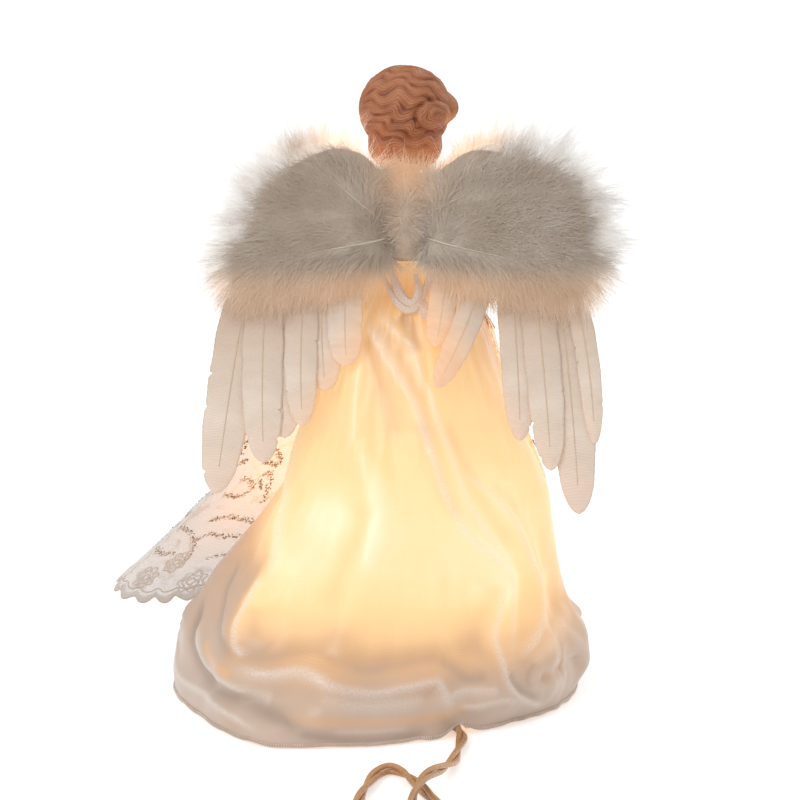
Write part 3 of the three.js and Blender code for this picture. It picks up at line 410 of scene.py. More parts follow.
lead_path = flowing(np.vstack([LEAD_POINTS, coil_route()]), 900)
lead_length = length_along(lead_path)[-1]
lead_across, lead_rise = square_frame(lead_path)
lead_turn = (2 * np.pi * np.linspace(0, lead_length, len(lead_path)) / LEAD_LAY)[:, None]
lead_offset = LEAD_WIRE_OFFSET * (np.cos(lead_turn) * lead_across + np.sin(lead_turn) * lead_rise)
lead_wires = [wire(lead_path + side * lead_offset, LEAD_WIRE_RADIUS, 14) for side in (1, -1)]
lead = piece(joined("lead", lead_wires), ivory_wire, "base", "wire", "lead_cord", "lead_coil")

# Coil tie: a short paper-covered wire, bent round the turns of the coil and twisted shut on top.
# Its loop is given as the distance from the coil's middle and the height.
TIE_HALF_WIDTH, TIE_THICKNESS, TIE_LOWEST = 1.6, 0.3, 0.05
TIE_LOOP = np.array([
    [26.9, 1.6], [26.5, 0.35], [24.2, 0.2], [21.5, 0.4], [19.9, 2.6], [19.6, 6.2], [20.4, 9.0], [22.4, 10.2],
    [24.6, 9.8], [26.2, 7.4], [26.8, 4.6],
])
coil_middle = LEAD_POINTS[-1] + [-COIL_RADIUS, FIT + LEAD_DIAMETER, 0]
tie_loop = flowing(TIE_LOOP[[*range(len(TIE_LOOP)), 0]], 61)[:-1]
tie_side = np.array([-1, 1, 1, -1]) * TIE_HALF_WIDTH
tie_out = np.array([0, 0, 1, 1]) * TIE_THICKNESS
tie_flat = tie_loop[:, None] + tie_out[:, None] * unit(tie_loop - tie_loop.mean(0))[:, None]
tie_grid = stacked(coil_middle[0] - tie_flat[..., 0], coil_middle[1] + tie_side,
                   np.maximum(tie_flat[..., 1], TIE_LOWEST))
tie_paper = moulded("tie_paper", (0.62, 0.58, 0.50), (0.74, 0.70, 0.62), 0.8, grain=1500.0, relief=0.3)
coil_tie = piece(joined("coil_tie", [tie_grid], loop=True), tie_paper, "base", "plug_plastic")

# Plug: a moulded ivory two-blade plug whose fuse lies under a door that slides out between the blades.
# Its CAD solids keep their shapes.
plug_plastic = moulded("plug_plastic", (0.74, 0.66, 0.52), (0.82, 0.75, 0.62), 0.4)
blade_brass = moulded("blade_brass", (0.55, 0.42, 0.20), (0.74, 0.60, 0.32), 0.28, grain=1600.0, metallic=1.0)
fuse_glass = moulded("fuse_glass", (0.62, 0.66, 0.64), (0.80, 0.83, 0.80), 0.15, relief=0.03)
dress(plug_plastic, "plug_body", "fuse_door")
dress(blade_brass, "plug_blade_1", "plug_blade_2")
dress(fuse_glass, "fuse")

# Gown skirt: cream satin gathered at the waist, which hangs in swept folds and pools on the floor.
# The lamps shine through it, so each point carries the light it lets out, from the lamps' places.
SKIRT_TOP, SKIRT_THICKNESS = 177.6, 1.2
SKIRT_ROWS = np.array([
    [0.3, 92.5, 74, 74, 80], [8, 95, 76, 76, 82], [17, 92.5, 73, 70.5, 79.5], [26, 92, 72.5, 72, 79],
    [34, 87.5, 67.5, 66, 74], [48, 79, 62, 62, 68], [68, 62.5, 58.5, 59, 60], [86, 49, 56.5, 53, 52],
    [103, 44.5, 49.5, 47, 46], [120, 37.5, 41, 40, 40], [134, 34.5, 37, 34, 36], [150, 31, 33, 26, 30],
    [167, 19.5, 19.5, 15.5, 18], [SKIRT_TOP, 14.2, 14.2, 12.7, 12.7],
])
FRONT_CRESTS = [[[196, 150], [204, 20]], [[230, 150], [234, 20]], [[264, 150], [263, 20]],
                [[298, 150], [294, 20]], [[332, 150], [325, 20]]]
# Broad folds: turns and heights along the crest, half width in degrees and depth
BROAD_FOLDS = [
    ([[9, 124], [26, 79], [36, 60], [34, 36], [40, 20]], 10, 8),
    ([[38, 163], [64, 112], [78, 85], [74, 60], [68, 36]], 10, 8),
    ([[47, 159], [91, 129], [110, 82], [129, 58], [124, 32]], 10, 9),
    ([[112, 108], [130, 92], [151, 56], [143, 28]], 10, 8),
    ([[158, 140], [170, 80], [176, 20]], 11, 7),
    *((crest, 12, 9) for crest in FRONT_CRESTS),
]
# Fold lines: turns and heights along the line, how far the cloth stands out there (less than 0 in a valley),
# the half widths to the left and right of the way it runs, and its painted highlight, painted shade and added
# painted light
FOLD_LINES = [
    ([[44, 162], [51, 154], [54.4, 146], [56.4, 140], [58.8, 130], [60.8, 120], [63, 106]],
     1.2, (1.3, 2.2), 0.35, 0.0, 0.14),
    ([[54.8, 153], [64, 142], [70.4, 134], [76.4, 127], [80.4, 121], [83, 110]],
     -0.6, (4.5, 3.5), 0.0, 0.06, -0.15),
    ([[47, 160], [56.8, 154.3], [64.8, 150], [78, 142], [87.2, 135.3], [93.2, 129.3], [97.2, 121.8],
      [101, 112], [105, 100], [109, 87], [115, 77], [125, 68], [132.4, 60], [135.6, 51]],
     1.7, (2.2, 1.5), 0.68, 0.0, 0.0),
    ([[52, 161], [69.6, 157], [86, 151], [97, 147], [98.4, 143], [101.6, 136], [105.6, 131], [107, 124],
      [112.4, 107], [117, 92], [123, 80], [130.4, 69], [134.4, 60], [135.6, 49], [132.4, 38], [126, 26]],
     1.5, (1.2, 1.9), 0.55, 0.0, 0.0),
    ([[59.6, 156], [78.8, 148], [90, 140], [97, 132], [101.6, 122], [106, 108]],
     -0.5, (2.6, 2.6), 0.0, 0.05, -0.10),
    ([[84, 159], [94, 154.5], [97.5, 149], [99.5, 144]], -0.8, (3.0, 3.4), 0.0, 0.28, -0.14),
    ([[112, 103], [125, 95], [132.4, 87], [139, 77], [146, 63], [151.6, 50], [147, 40], [140, 33], [133, 29],
      [127.6, 26]], 1.5, (1.2, 2.0), 0.6, 0.0, 0.0),
    ([[131, 58], [126.4, 47], [122.8, 39], [122.4, 30], [122.8, 24], [126, 17], [133, 10.5], [146, 3]],
     1.5, (1.1, 1.8), 0.66, 0.0, 0.0),
    ([[15, 118], [21.6, 99], [22.4, 92], [28.8, 81], [34.4, 73], [38.8, 63], [39.5, 56]],
     1.8, (3.0, 1.5), 0.62, 0.0, 0.06),
    ([[38, 61], [36.4, 56], [35.6, 47], [34.8, 41], [36.4, 34], [39.6, 31], [43, 29.5]],
     1.6, (1.7, 0.8), 0.85, 0.0, 0.0),
    ([[64, 112], [77, 97], [78, 76], [74, 63]], 0.9, (3.4, 4.2), 0.2, 0.0, 0.10),
    ([[73, 92], [71, 78], [66, 64], [62, 48]], -0.3, (3.4, 5.0), 0.0, 0.04, -0.09),
    ([[97, 122], [102, 109], [106, 94], [112, 82]], -0.8, (3.0, 3.0), 0.0, 0.1, -0.11),
    ([[112, 122], [118, 104], [123, 92], [130, 80], [137, 68]], -0.6, (2.6, 2.6), 0.0, 0.08, -0.10),
    ([[128, 98], [140, 84], [149, 66], [155, 50]], -0.6, (3.4, 3.4), 0.0, 0.1, -0.11),
    ([[127, 58], [120, 47], [116, 38], [115, 29]], -0.5, (3.2, 7.0), 0.0, 0.12, -0.12),
    ([[39, 48], [40, 40], [42, 34], [47, 31.5]], -0.5, (3.4, 2.6), 0.0, 0.1, -0.08),
    ([[38, 26], [43.2, 26.6], [49.2, 26], [54.4, 27.4], [59.6, 29.2], [65.6, 28.8], [70, 25.8], [75.6, 22.8],
      [82.4, 21.2], [91.2, 23], [100, 24.2], [103, 19.3], [105.2, 13.3], [108, 8.5]],
     2.4, (1.3, 3.6), 0.66, 0.0, 0.0),
    ([[31, 37], [36, 33], [43.2, 30.2], [49.6, 31], [56, 33.4], [64, 35], [71.6, 32], [78.4, 29],
      [88.4, 30.4], [100.4, 31], [106, 24]], -1.4, (6.5, 2.0), 0.0, 0.30, -0.08),
    ([[-14, 48], [-8, 36], [-4, 27], [0, 19], [5, 13.4], [15, 10.8], [28.8, 11.3], [40, 10.3],
      [49, 6.8], [56, 4]], 1.2, (0.9, 2.2), 0.75, 0.0, 0.0),
    ([[6, 44], [10, 34], [14, 27.3], [19.2, 20.4], [30, 15.6], [43.6, 15], [54.8, 11.3], [61.2, 8.8],
      [68, 7]], -2.2, (3.2, 3.5), 0.0, 0.98, -0.05),
    ([[13, 35], [15.6, 30.8], [21.6, 25.8], [26.8, 20.8], [37.6, 19.8], [43.2, 18.3], [50, 18]],
     1.6, (2.2, 1.3), 0.7, 0.0, 0.0),
    ([[15, 60], [19, 47], [25, 38.6], [30, 34], [35.5, 30.4], [41, 27.8]], -1.5, (1.8, 2.0), 0.0, 0.5, -0.05),
    ([[22, 30.5], [28, 26.5], [35, 24.2], [42, 22.8]], 0.0, (2.4, 2.4), 0.0, 0.0, 0.2),
    ([[136.4, 17.8], [140, 21.3], [147, 22], [155.2, 20.3], [159.2, 16.8], [150.4, 14.3], [140.8, 13.4],
      [136.6, 15.5], [136.4, 17.8]], 1.3, (3.0, 2.4), 0.24, 0.0, 0.0),
    ([[138, 17.4], [146, 18], [155, 18]], -1.6, (3.6, 3.2), 0.0, 0.2, 0.06),
    ([[158, 36], [164.4, 27], [168.4, 21.8], [170.8, 17.3], [166.8, 13.5]], 1.6, (2.0, 3.4), 0.34, 0.0, 0.0),
    ([[167, 42], [164.8, 35], [150, 30.5], [138.8, 27.8], [133.2, 21.8]], 1.6, (3.2, 3.0), 0.28, 0.0, 0.03),
    ([[123.6, 25], [126.4, 20.5], [131, 15], [138, 10]], -1.2, (1.8, 1.4), 0.0, 0.6, -0.05),
    ([[136, 26], [134, 20], [135, 14]], -0.6, (1.4, 1.6), 0.0, 0.4, 0.0),
    ([[103, 16.5], [108.4, 17.8], [115.2, 18.6], [122, 18.3]], 0.9, (1.2, 3.0), 0.5, 0.0, 0.0),
    ([[107, 9.5], [112, 11], [118, 13.3], [124, 13.5], [128, 12]], 0.7, (1.1, 2.0), 0.5, 0.0, 0.0),
    ([[101, 31], [106, 27.5], [111, 22.6], [118, 23.5]], -0.9, (3.0, 2.0), 0.0, 0.42, -0.03),
    ([[44, 19], [48, 17.8], [53, 16.4]], 0.3, (3.0, 3.0), 0.4, 0.0, 0.0),
    ([[66, 21], [72, 18.5], [77, 17], [88.4, 16.8], [98, 18]], 0.3, (3.4, 3.4), 0.42, 0.0, 0.0),
    ([[54, 11.6], [68, 11.6], [78, 10.2], [94, 9.6], [114, 10]], -0.4, (2.4, 2.4), 0.0, 0.0, 0.12),
    ([[60, 7.4], [66, 5.2], [72, 3.4], [83, 2.6], [98, 2.8]], -0.6, (3.0, 2.8), 0.0, 0.8, -0.05),
    ([[70, 7.2], [80, 6.6], [92, 6.4]], 0.4, (1.3, 1.3), 0.3, 0.0, 0.0),
    ([[150, 140], [160, 95], [168, 52], [171, 40]], 1.7, (4.4, 4.4), 0.24, 0.0, 0.0),
    *((crest, 1.7, (4.4, 4.4), 0.24, 0.0, 0.0) for crest in FRONT_CRESTS),
]
POOL_TURN, POOL_HALF_WIDTH, POOL_REACH, POOL_HEIGHT = 58.0, 22.0, 10.0, 46.0
# Edge of the hem on the floor: its distance from the axis by turn, reached over the lowest part of the gown
HEM_REACH = np.array([
    [0, 94.5], [24, 90.5], [37, 91], [48, 94], [56, 94.5], [63, 88], [71, 82.5], [80, 78.5], [91, 72.5],
    [105, 67], [118, 64.5], [140, 64.5], [150, 66.5], [164, 69], [184, 70], [225, 76], [270, 80], [315, 88],
    [360, 94.5],
])
HEM_HEIGHT = 18.0
HEM_ARCH_HEIGHT, HEM_ARCH_HALF_WIDTH, HEM_ARCH_FADE = 4.2, 4.2, 24.0
# Rolls of pooled cloth round the front of the hem: heights of the upper and lower crest by turn
UPPER_ROLL = np.array([[0, 31], [165, 30], [200, 24], [240, 28], [285, 24], [330, 28], [360, 31]])
LOWER_ROLL = np.array([[0, 17], [160, 12], [200, 9], [250, 11], [300, 8], [340, 12], [360, 17]])
UPPER_STAND, LOWER_STAND, HOLLOW_DEPTH, ABOVE_DEPTH, HOLLOW_LEAST = 3.0, 2.6, 2.6, 1.6, 3.0
BACK_TURN, ROLLS_START = 88.0, (86.0, 16.0)
SKIRT_COLUMNS, SKIRT_BACK_COLUMNS, SKIRT_OUTER, SKIRT_INNER = 400, 290, 178, 60
CLOTH_MM_A_TURN = 1.2
# Light through the satin by height and by turn, and the edge of the left flank, where the cloth lies double
LIT_BY_HEIGHT = np.array([
    [0, 0.03], [14, 0.05], [22, 0.1], [27, 0.2], [33, 0.36], [42, 0.54], [52, 0.68], [64, 0.76], [80, 0.78],
    [95, 0.74], [110, 0.66], [130, 0.57], [150, 0.47], [165, 0.40], [178, 0.47],
])
LIT_BY_TURN = np.array([
    [0, 0.5], [14, 0.72], [28, 0.93], [60, 0.97], [100, 0.98], [130, 1.0], [150, 0.86], [170, 0.7],
    [185, 0.7], [210, 0.85], [250, 0.95], [300, 0.95], [330, 0.85], [346, 0.6],
])
FLANK_EDGE = [[9, 124], [26, 79], [39, 65], [35, 50], [34, 36], [40, 20]]
# Spots near the lamps, shade of double cloth, and the dim flank: a step has a start and a width
SPOT_SOFTNESS, SPOT_GAIN, SPOT_LIGHT, SPOT_MOST = 16.0, 430.0, 0.21, 1.3
SPOTS_FOOT, SPOTS_TOP, SPOTS_LOSS = (30, 22), (92, 26), 0.75
DOUBLE_SHADE, DOUBLE_TURN, DOUBLE_HEIGHT = 0.16, 69, 42
FLANK_LIGHT, FLANK_TOP, FLANK_TURNS = 0.22, (84, -34), 60
INSIDE_LIGHT, MOST_LIGHT = ([0, 20, 60], [0.02, 0.08, 0.6]), 1.2
# Unevenness of the cloth: seed, number of waves, fewest and most of them round the gown, and their slant
HEM_WAVES, CREASES, RIPPLES = (4, 5, (5, 17), 0.1), (9, 8, (14, 46), 0.16), (21, 4, (9, 41), 0.0)
HEM_WAVE_TOP, CREASE_DEPTH, RIPPLE_DEPTH, RIPPLE_TOP = 40.0, 0.4, 0.5, 6.0
GATHERS, GATHER_DEPTH, GATHER_FOOT, GATHER_RISE = 34, 0.7, 138.0, 36.0
CLOTH_SLOPE, LINE_FADE, RIDGE_ROUND, RIDGE_FALL = 1.12, 0.14, 0.7, 1.5
CLOSE_ROWS_SHARE, CLOSE_ROWS_TOP = 0.72, 36.0


def bump(distance, half_width):
    """Bell curve, 1 in the middle."""
    return np.exp(-((distance / half_width) ** 2))


def turn_between(a, b):
    """Difference of two turns in degrees, from -180 to 180."""
    return (a - b + 180) % 360 - 180


def crest_turn(crest, height):
    """Turn of a fold's crest at a height, held at its ends."""
    line = np.array(crest, float)[::-1]
    return np.interp(height, line[:, 1], line[:, 0])


def smoothed(values, width, ends):
    """Values averaged over a bell-shaped window, with their ends carried on or wrapped round."""
    window = np.hanning(width) / np.hanning(width).sum()
    return np.convolve(np.pad(values, width // 2, ends), window, "valid")


row_heights, hem_turns = np.linspace(0, SKIRT_TOP, 356), np.arange(0, 361.0)
row_table = [smoothed(np.interp(row_heights, SKIRT_ROWS[:, 0], reach), 17, "edge")
             for reach in SKIRT_ROWS.T[1:]]
hem_table = smoothed(np.interp(hem_turns, *HEM_REACH.T), 11, "wrap")


def gown_reach(turn, height):
    """Distance of the gown from the axis: an oval through its left, right, back and front reach, with broad
    folds that deepen towards the hem, the pool of cloth behind, and the hem's own outline at the floor."""
    left, right, back, front = (np.interp(height, row_heights, table) for table in row_table)
    angle = np.radians(turn)
    reach = (left + right + back + front) / 4 + (left - right) / 2 * np.cos(angle)
    reach = reach + (back - front) / 2 * np.sin(angle) + (left + right - back - front) / 4 * np.cos(2 * angle)
    drop = 1 - height / SKIRT_TOP
    for crest, half_width, depth in BROAD_FOLDS:
        away = turn_between(turn, crest_turn(crest, height))
        reach = reach + depth * drop * (bump(away, half_width) - bump(away, 2 * half_width) / 2)
    pool = eased(1 - height / POOL_HEIGHT) * bump(turn_between(turn, POOL_TURN), POOL_HALF_WIDTH)
    spread = eased(1 - height / HEM_HEIGHT)
    return (reach + POOL_REACH * pool) * (1 - spread) + np.interp(turn % 360, hem_turns, hem_table) * spread


def line_marks(turn, height, reach):
    """What the fold lines do at each point, by its distance from each line over the cloth and by the side it
    lies on: the stand-off falls off as a soft ridge, and the painted highlight, painted shade and painted
    light as bell curves. Open lines fade at their ends."""
    stand, pale, shade, lit = (np.zeros_like(turn) for _ in range(4))
    for points, tall, half_widths, shine, dark, light in FOLD_LINES:
        line = flowing(points, 12 * len(points))
        run = np.gradient(line, axis=0)
        margin = 5 * max(half_widths)
        rows = (height[:, 0] > line[:, 1].min() - margin) & (height[:, 0] < line[:, 1].max() + margin)
        across = np.radians(turn_between(turn[rows][..., None], line[:, 0])) * reach[rows][..., None]
        rise = CLOTH_SLOPE * (height[rows][..., None] - line[:, 1])
        nearest = np.hypot(across, rise).argmin(-1)
        across, rise = (np.take_along_axis(part, nearest[..., None], -1)[..., 0] for part in (across, rise))
        left = run[nearest, 0] * rise - run[nearest, 1] * across > 0
        half_width = np.where(left, *half_widths)
        away = np.hypot(across, rise) / half_width
        place = nearest / (len(line) - 1)
        closed = points[0] == points[-1]
        fade = 1.0 if closed else eased(place / LINE_FADE) * rising(place, 1, -LINE_FADE)
        stand[rows] += tall * fade * np.exp(-(np.hypot(away, RIDGE_ROUND) - RIDGE_ROUND) / RIDGE_FALL)
        bell = fade * bump(away, 1)
        pale[rows] = np.maximum(pale[rows], shine * bell)
        shade[rows] = np.maximum(shade[rows], dark * bell)
        lit[rows] += light * bell
    return stand, pale, shade * (1 - pale), lit


def hem_rolls(turn, height):
    """Two soft rolls of cloth with a hollow between them, as a stand-off, and the hollow's depth, which is
    painted as shade.
    """
    upper, lower = (np.interp(turn % 360, *roll.T) for roll in (UPPER_ROLL, LOWER_ROLL))
    hollow = bump(height - (upper + lower) / 2, np.maximum(HOLLOW_LEAST, (upper - lower) / 2.6))
    front = rising(np.abs(turn_between(turn, BACK_TURN)), *ROLLS_START)
    above = bump(height - upper - 8, 5.0)
    stand = UPPER_STAND * bump(height - upper, 4.2) + LOWER_STAND * bump(height - lower, 4.0)
    return front * (stand - HOLLOW_DEPTH * hollow - ABOVE_DEPTH * above), front * hollow


def wavy(turn, height, seed, count, turns, heights):
    """Gentle unevenness: a sum of sine waves with whole numbers of waves round the gown."""
    draw = np.random.default_rng(seed)
    total = np.zeros_like(turn)
    for _ in range(count):
        waves, rise, phase = draw.integers(*turns), draw.uniform(-heights, heights), draw.uniform(0, 6.28)
        total += np.sin(np.radians(waves * turn) + rise * height + phase) / count
    return total


gown_turns = np.concatenate([np.linspace(0, 180, SKIRT_BACK_COLUMNS, endpoint=False),
                             np.linspace(180, 360, SKIRT_COLUMNS - SKIRT_BACK_COLUMNS, endpoint=False)])


def gown_sheet(rows, inset):
    """Points of the gown's outer face, or of the face a thickness inside it, and the marks that colour it."""
    heights = np.interp(np.linspace(0, 1, rows), [0, CLOSE_ROWS_SHARE, 1],
                        [SKIRT_TOP, CLOSE_ROWS_TOP, SKIRT_ROWS[0, 0]])
    turn, height = np.meshgrid(gown_turns, heights)
    reach = gown_reach(turn, height)
    stand, pale, shade, lit = line_marks(turn, height, reach)
    roll, hollow = hem_rolls(turn, height)
    gathers = GATHER_DEPTH * np.sin(np.radians(GATHERS * turn) + 0.05 * height)
    gathers = gathers * rising(height, GATHER_FOOT, GATHER_RISE)
    hem_wave = wavy(turn, height, *HEM_WAVES) * eased(1 - height / HEM_WAVE_TOP)
    creases = wavy(turn, height, *CREASES) * CREASE_DEPTH * rising(height, SKIRT_TOP, -30)
    reach = reach + stand + roll + gathers + hem_wave + creases - inset
    arch = HEM_ARCH_HEIGHT * bump(turn_between(turn, NOTCH_TURN), HEM_ARCH_HALF_WIDTH)
    lift = arch * np.maximum(0, 1 - height / HEM_ARCH_FADE)
    ripple = (0.3 + wavy(turn, height, *RIPPLES) * RIPPLE_DEPTH) * eased(1 - height / RIPPLE_TOP)
    # Marks for the satin: painted highlight on the fold crests, and painted shade in the valleys and the
    # hollow between the hem rolls.
    marks = {"pale": pale, "shade": shade + 0.3 * hollow, "lit": lit}
    return polar(turn, reach, height + lift + np.maximum(ripple, 0)), turn, height, marks


def outward(points):
    """Directions square to a gown grid, away from the axis."""
    down = np.gradient(points, axis=0)
    round_ = (np.roll(points, -1, 1) - np.roll(points, 1, 1)) / 2
    return unit(np.cross(down, round_))


def gown_glow(points, turn, height):
    """Light that the satin lets out: an even part by height and turn, brighter spots near each lamp by the
    inverse square of the distance, and less where the cloth lies double beside the folds."""
    even = np.interp(height, *LIT_BY_HEIGHT.T) * np.interp(turn % 360, *LIT_BY_TURN.T, period=360)
    apart = points[..., None, :] - lamp_glass
    facing = np.sum(unit(apart) * outward(points)[..., None, :], -1)
    near = np.sum(np.clip(facing, 0, 1) ** 2 / (np.sum(apart**2, -1) + SPOT_SOFTNESS**2), -1)
    spots = SPOT_LIGHT * np.clip(near * SPOT_GAIN, 0, SPOT_MOST) * rising(height, *SPOTS_FOOT)
    spots = spots * (1 - SPOTS_LOSS * rising(height, *SPOTS_TOP))
    shade = DOUBLE_SHADE * bump(turn_between(turn, DOUBLE_TURN), 6) * bump(height - DOUBLE_HEIGHT, 5)
    flank = rising(turn_between(turn, crest_turn(FLANK_EDGE, height)), -5, 8)
    flank = 1 - (1 - flank) * rising(height, *FLANK_TOP) * (np.abs(turn_between(turn, 0)) < FLANK_TURNS)
    light = (even - shade) * (FLANK_LIGHT + (1 - FLANK_LIGHT) * flank) + spots * flank
    return np.clip(light, 0, MOST_LIGHT)


def mark(thing, **columns):
    """Stores named numbers for each point of a mesh, for its finish to read. One value serves for all."""
    for name, values in columns.items():
        column = np.broadcast_to(np.ravel(values), len(thing.data.vertices)).astype(np.float32)
        thing.data.attributes.new(name, "FLOAT", "POINT").data.foreach_set("value", column)


def lay_map(thing, across, along):
    """Stores two coordinates in millimetres for each point as the mesh's own UV map."""
    corners = np.empty(len(thing.data.loops), int)
    thing.data.loops.foreach_get("vertex_index", corners)
    layer = thing.data.uv_layers.new(name="cloth")
    flat = stacked(np.ravel(across), np.ravel(along))[corners] * MM
    layer.data.foreach_set("uv", flat.ravel().astype(np.float32))


def stored(tree, name):
    """The number that a mesh stores under a name."""
    return put(tree, "Attribute", attribute_name=name).outputs["Fac"]


def blend(tree, amount, a, b, way="MIX"):
    """Two colours mixed by an amount."""
    sockets = {"Factor": amount, "A": a, "B": b}
    return put(tree, "Mix", sockets, data_type="RGBA", blend_type=way).outputs["Result"]


def fine_lines(tree, place, scale, distortion, way, finer=1.0):
    """Value of fine parallel lines, a little unsteady."""
    sockets = {"Vector": place, "Scale": scale, "Distortion": distortion, "Detail": 2.0,
               "Detail Scale": finer}
    return put(tree, "TexWave", sockets, bands_direction=way).outputs["Fac"]


def satin_finish():
    """Lit satin: unlit it is a warm taupe with a sheen, and where light comes through, it goes through brown
    and orange to cream. Fold crests carry a painted silvery highlight and valleys painted shade; fine crossed
    threads show."""
    finish, tree, shader = finish_of("satin", (0.60, 0.44, 0.33), 0.34)
    glow, pale, shade = (stored(tree, name) for name in ("glow", "pale", "shade"))
    place = put(tree, "TexCoord").outputs
    slub = noise(tree, place["UV"], 1400.0, 4.0)
    threads = sums(tree, "ADD", *(fine_lines(tree, place["UV"], 330.0, 0.6, way) for way in "XY"))
    patchy = remap(tree, noise(tree, place["Object"], 26.0, 3.0), (-0.055, 0.025), (0.3, 0.7))
    amount = sums(tree, "ADD", glow, sums(tree, "MULTIPLY_ADD", threads, 0.018, patchy))
    body = ramp(tree, amount, [
        (0.0, (0.66, 0.51, 0.41)), (0.12, (0.64, 0.45, 0.32)), (0.3, (0.56, 0.35, 0.20)),
        (0.5, (0.52, 0.35, 0.20)), (0.75, (0.44, 0.33, 0.17)), (1.0, (0.42, 0.36, 0.23))])
    light = ramp(tree, amount, [
        (0.04, BLACK), (0.18, (0.12, 0.06, 0.025)), (0.32, (0.30, 0.165, 0.07)),
        (0.5, (0.54, 0.32, 0.135)), (0.68, (0.64, 0.43, 0.185)), (0.85, (0.67, 0.51, 0.25)),
        (1.0, (0.68, 0.60, 0.38))])
    # Painted highlight on the fold crests, grainy, and painted shade in the valleys; both dim the light given
    # off.
    shine = sums(tree, "MULTIPLY", pale, remap(tree, slub, (0.5, 1.3), (0.3, 0.7)), clamp=True)
    crest = blend(tree, shine, body, (0.87, 0.77, 0.70, 1))
    dim = sums(tree, "MULTIPLY", shade, 0.62)
    less = sums(tree, "MULTIPLY_ADD", pale, 0.55, sums(tree, "MULTIPLY", dim, 0.7), clamp=True)
    weave = raised(tree, threads, 0.1, 0.00015)
    feed(tree, shader, {
        "Base Color": blend(tree, dim, crest, (0.33, 0.215, 0.15, 1)),
        "Emission Color": blend(tree, less, light, (*BLACK, 1)), "Emission Strength": 1.0,
        "Specular IOR Level": 0.6, "Sheen Weight": 0.25, "Sheen Roughness": 0.35,
        "Roughness": remap(tree, slub, (0.24, 0.46)), "Normal": raised(tree, slub, 0.16, GRAIN_DEPTH, weave)})
    return finish


satin = satin_finish()
outer_face, outer_turn, outer_height, outer_marks = gown_sheet(SKIRT_OUTER, 0.0)
inner_face, inner_turn, inner_height, _ = gown_sheet(SKIRT_INNER, SKIRT_THICKNESS)
gown = joined("gown", [np.concatenate([outer_face, inner_face[::-1]])], loop=True)
gown_light = gown_glow(outer_face, outer_turn, outer_height) + outer_marks["lit"]
gown_light = np.clip(gown_light, 0, MOST_LIGHT)
inner_light = np.interp(inner_height[::-1], *INSIDE_LIGHT)
# Painted highlight along the fold crests, weaker where the satin is lit from inside.
gown_painted_highlight = outer_marks["pale"] * (1 - 0.4 * np.clip(gown_light, 0, 1))
unmarked = np.zeros_like(inner_light)
mark(gown, glow=np.concatenate([gown_light, inner_light]), pale=np.concatenate([gown_painted_highlight, unmarked]),
     shade=np.concatenate([outer_marks["shade"], unmarked]))
lay_map(gown, np.concatenate([outer_turn, inner_turn]) * CLOTH_MM_A_TURN,
        np.concatenate([outer_height, inner_height[::-1]]))
piece(gown, satin, "base", "satin", "gown_skirt")

# Hem: the satin's raw edge is overlocked, so a thread wraps it in short slanting stitches all round.
# They are separate small threads that start a little above the floor.
STITCH_COUNT, STITCH_RADIUS, STITCH_HEIGHT, STITCH_LOWEST = 620, 0.2, 1.7, 0.05
STITCH_SLANT, STITCH_LIFT, STITCH_BOW = 0.0011, 0.12, 0.25
STITCH_POINTS, STITCH_SIDES, EDGE_ROWS = 5, 4, 14


def copies(faces, points_each, count):
    """Faces of many copies of one small mesh whose points are stored one copy after another."""
    every = faces[None] + points_each * np.arange(count)[:, None, None]
    return every.reshape(-1, faces.shape[1])


def hem_stitches():
    """Each stitch is a short thread that rises slanting over the outer face from under the edge."""
    edge = outer_face[-EDGE_ROWS:][::-1]
    rise = np.linspace(0, 1, STITCH_POINTS)
    turn = 360 * ((np.arange(STITCH_COUNT) / STITCH_COUNT)[:, None] + STITCH_SLANT * rise)
    column = np.interp(turn, np.append(gown_turns, 360), np.arange(SKIRT_COLUMNS + 1))
    low = np.floor(column).astype(int)
    part = (column - low)[..., None]
    arc = length_along(edge[:, 0])
    row = np.interp(rise * STITCH_HEIGHT, arc, np.arange(len(arc)))
    base = np.minimum(row.astype(int), len(edge) - 2)
    mix = (row - base)[None, :, None]

    def at(step):
        ring = (low + step) % SKIRT_COLUMNS
        return edge[base[None, :], ring] * (1 - mix) + edge[base[None, :] + 1, ring] * mix

    line = at(0) * (1 - part) + at(1) * part
    away = unit(line * [1, 1, 0])
    line = line + away * (STITCH_LIFT + STITCH_BOW * np.sin(np.pi * rise))[None, :, None]
    across = unit(np.cross(np.gradient(line, axis=1), away))
    angle = around(STITCH_SIDES)[:, None]
    points = line[:, :, None] + STITCH_RADIUS * (
        np.cos(angle) * across[:, :, None] + np.sin(angle) * away[:, :, None])
    points[..., 2] = np.maximum(points[..., 2], STITCH_LOWEST)
    faces = grid_quads(STITCH_POINTS, STITCH_SIDES, ring=True)[:, ::-1]
    return points, copies(faces, STITCH_POINTS * STITCH_SIDES, STITCH_COUNT)


thread_finish = moulded("hem_thread", (0.82, 0.69, 0.59), (0.96, 0.88, 0.80), 0.6, grain=2400.0, relief=0.3)
hem_thread = piece(mesh_object("hem_thread", *hem_stitches()), thread_finish, "base", "satin")

# Bodice and back knot: the same satin, fitted to the body former in small gathers, with a gold braid at the
# waist and the neck. Behind, its ends are tied in a soft knot that hangs under the wings.
TORSO_RINGS = np.array([[6, 12.5, 11], [14, 16, 13], [23, 19.5, 14.5], [31, 20.5, 13], [36, 14, 10]])
BODICE_STANDOFF, BODICE_INSIDE, BODICE_GATHERS = 1.5, 0.5, 0.28
BODICE_COLUMNS, BODICE_ROWS = 216, 60
BODICE_CUT, BODICE_LIGHT = (0.112, 0.034), ([178, 195, 210], [0.42, 0.22, 0.12])
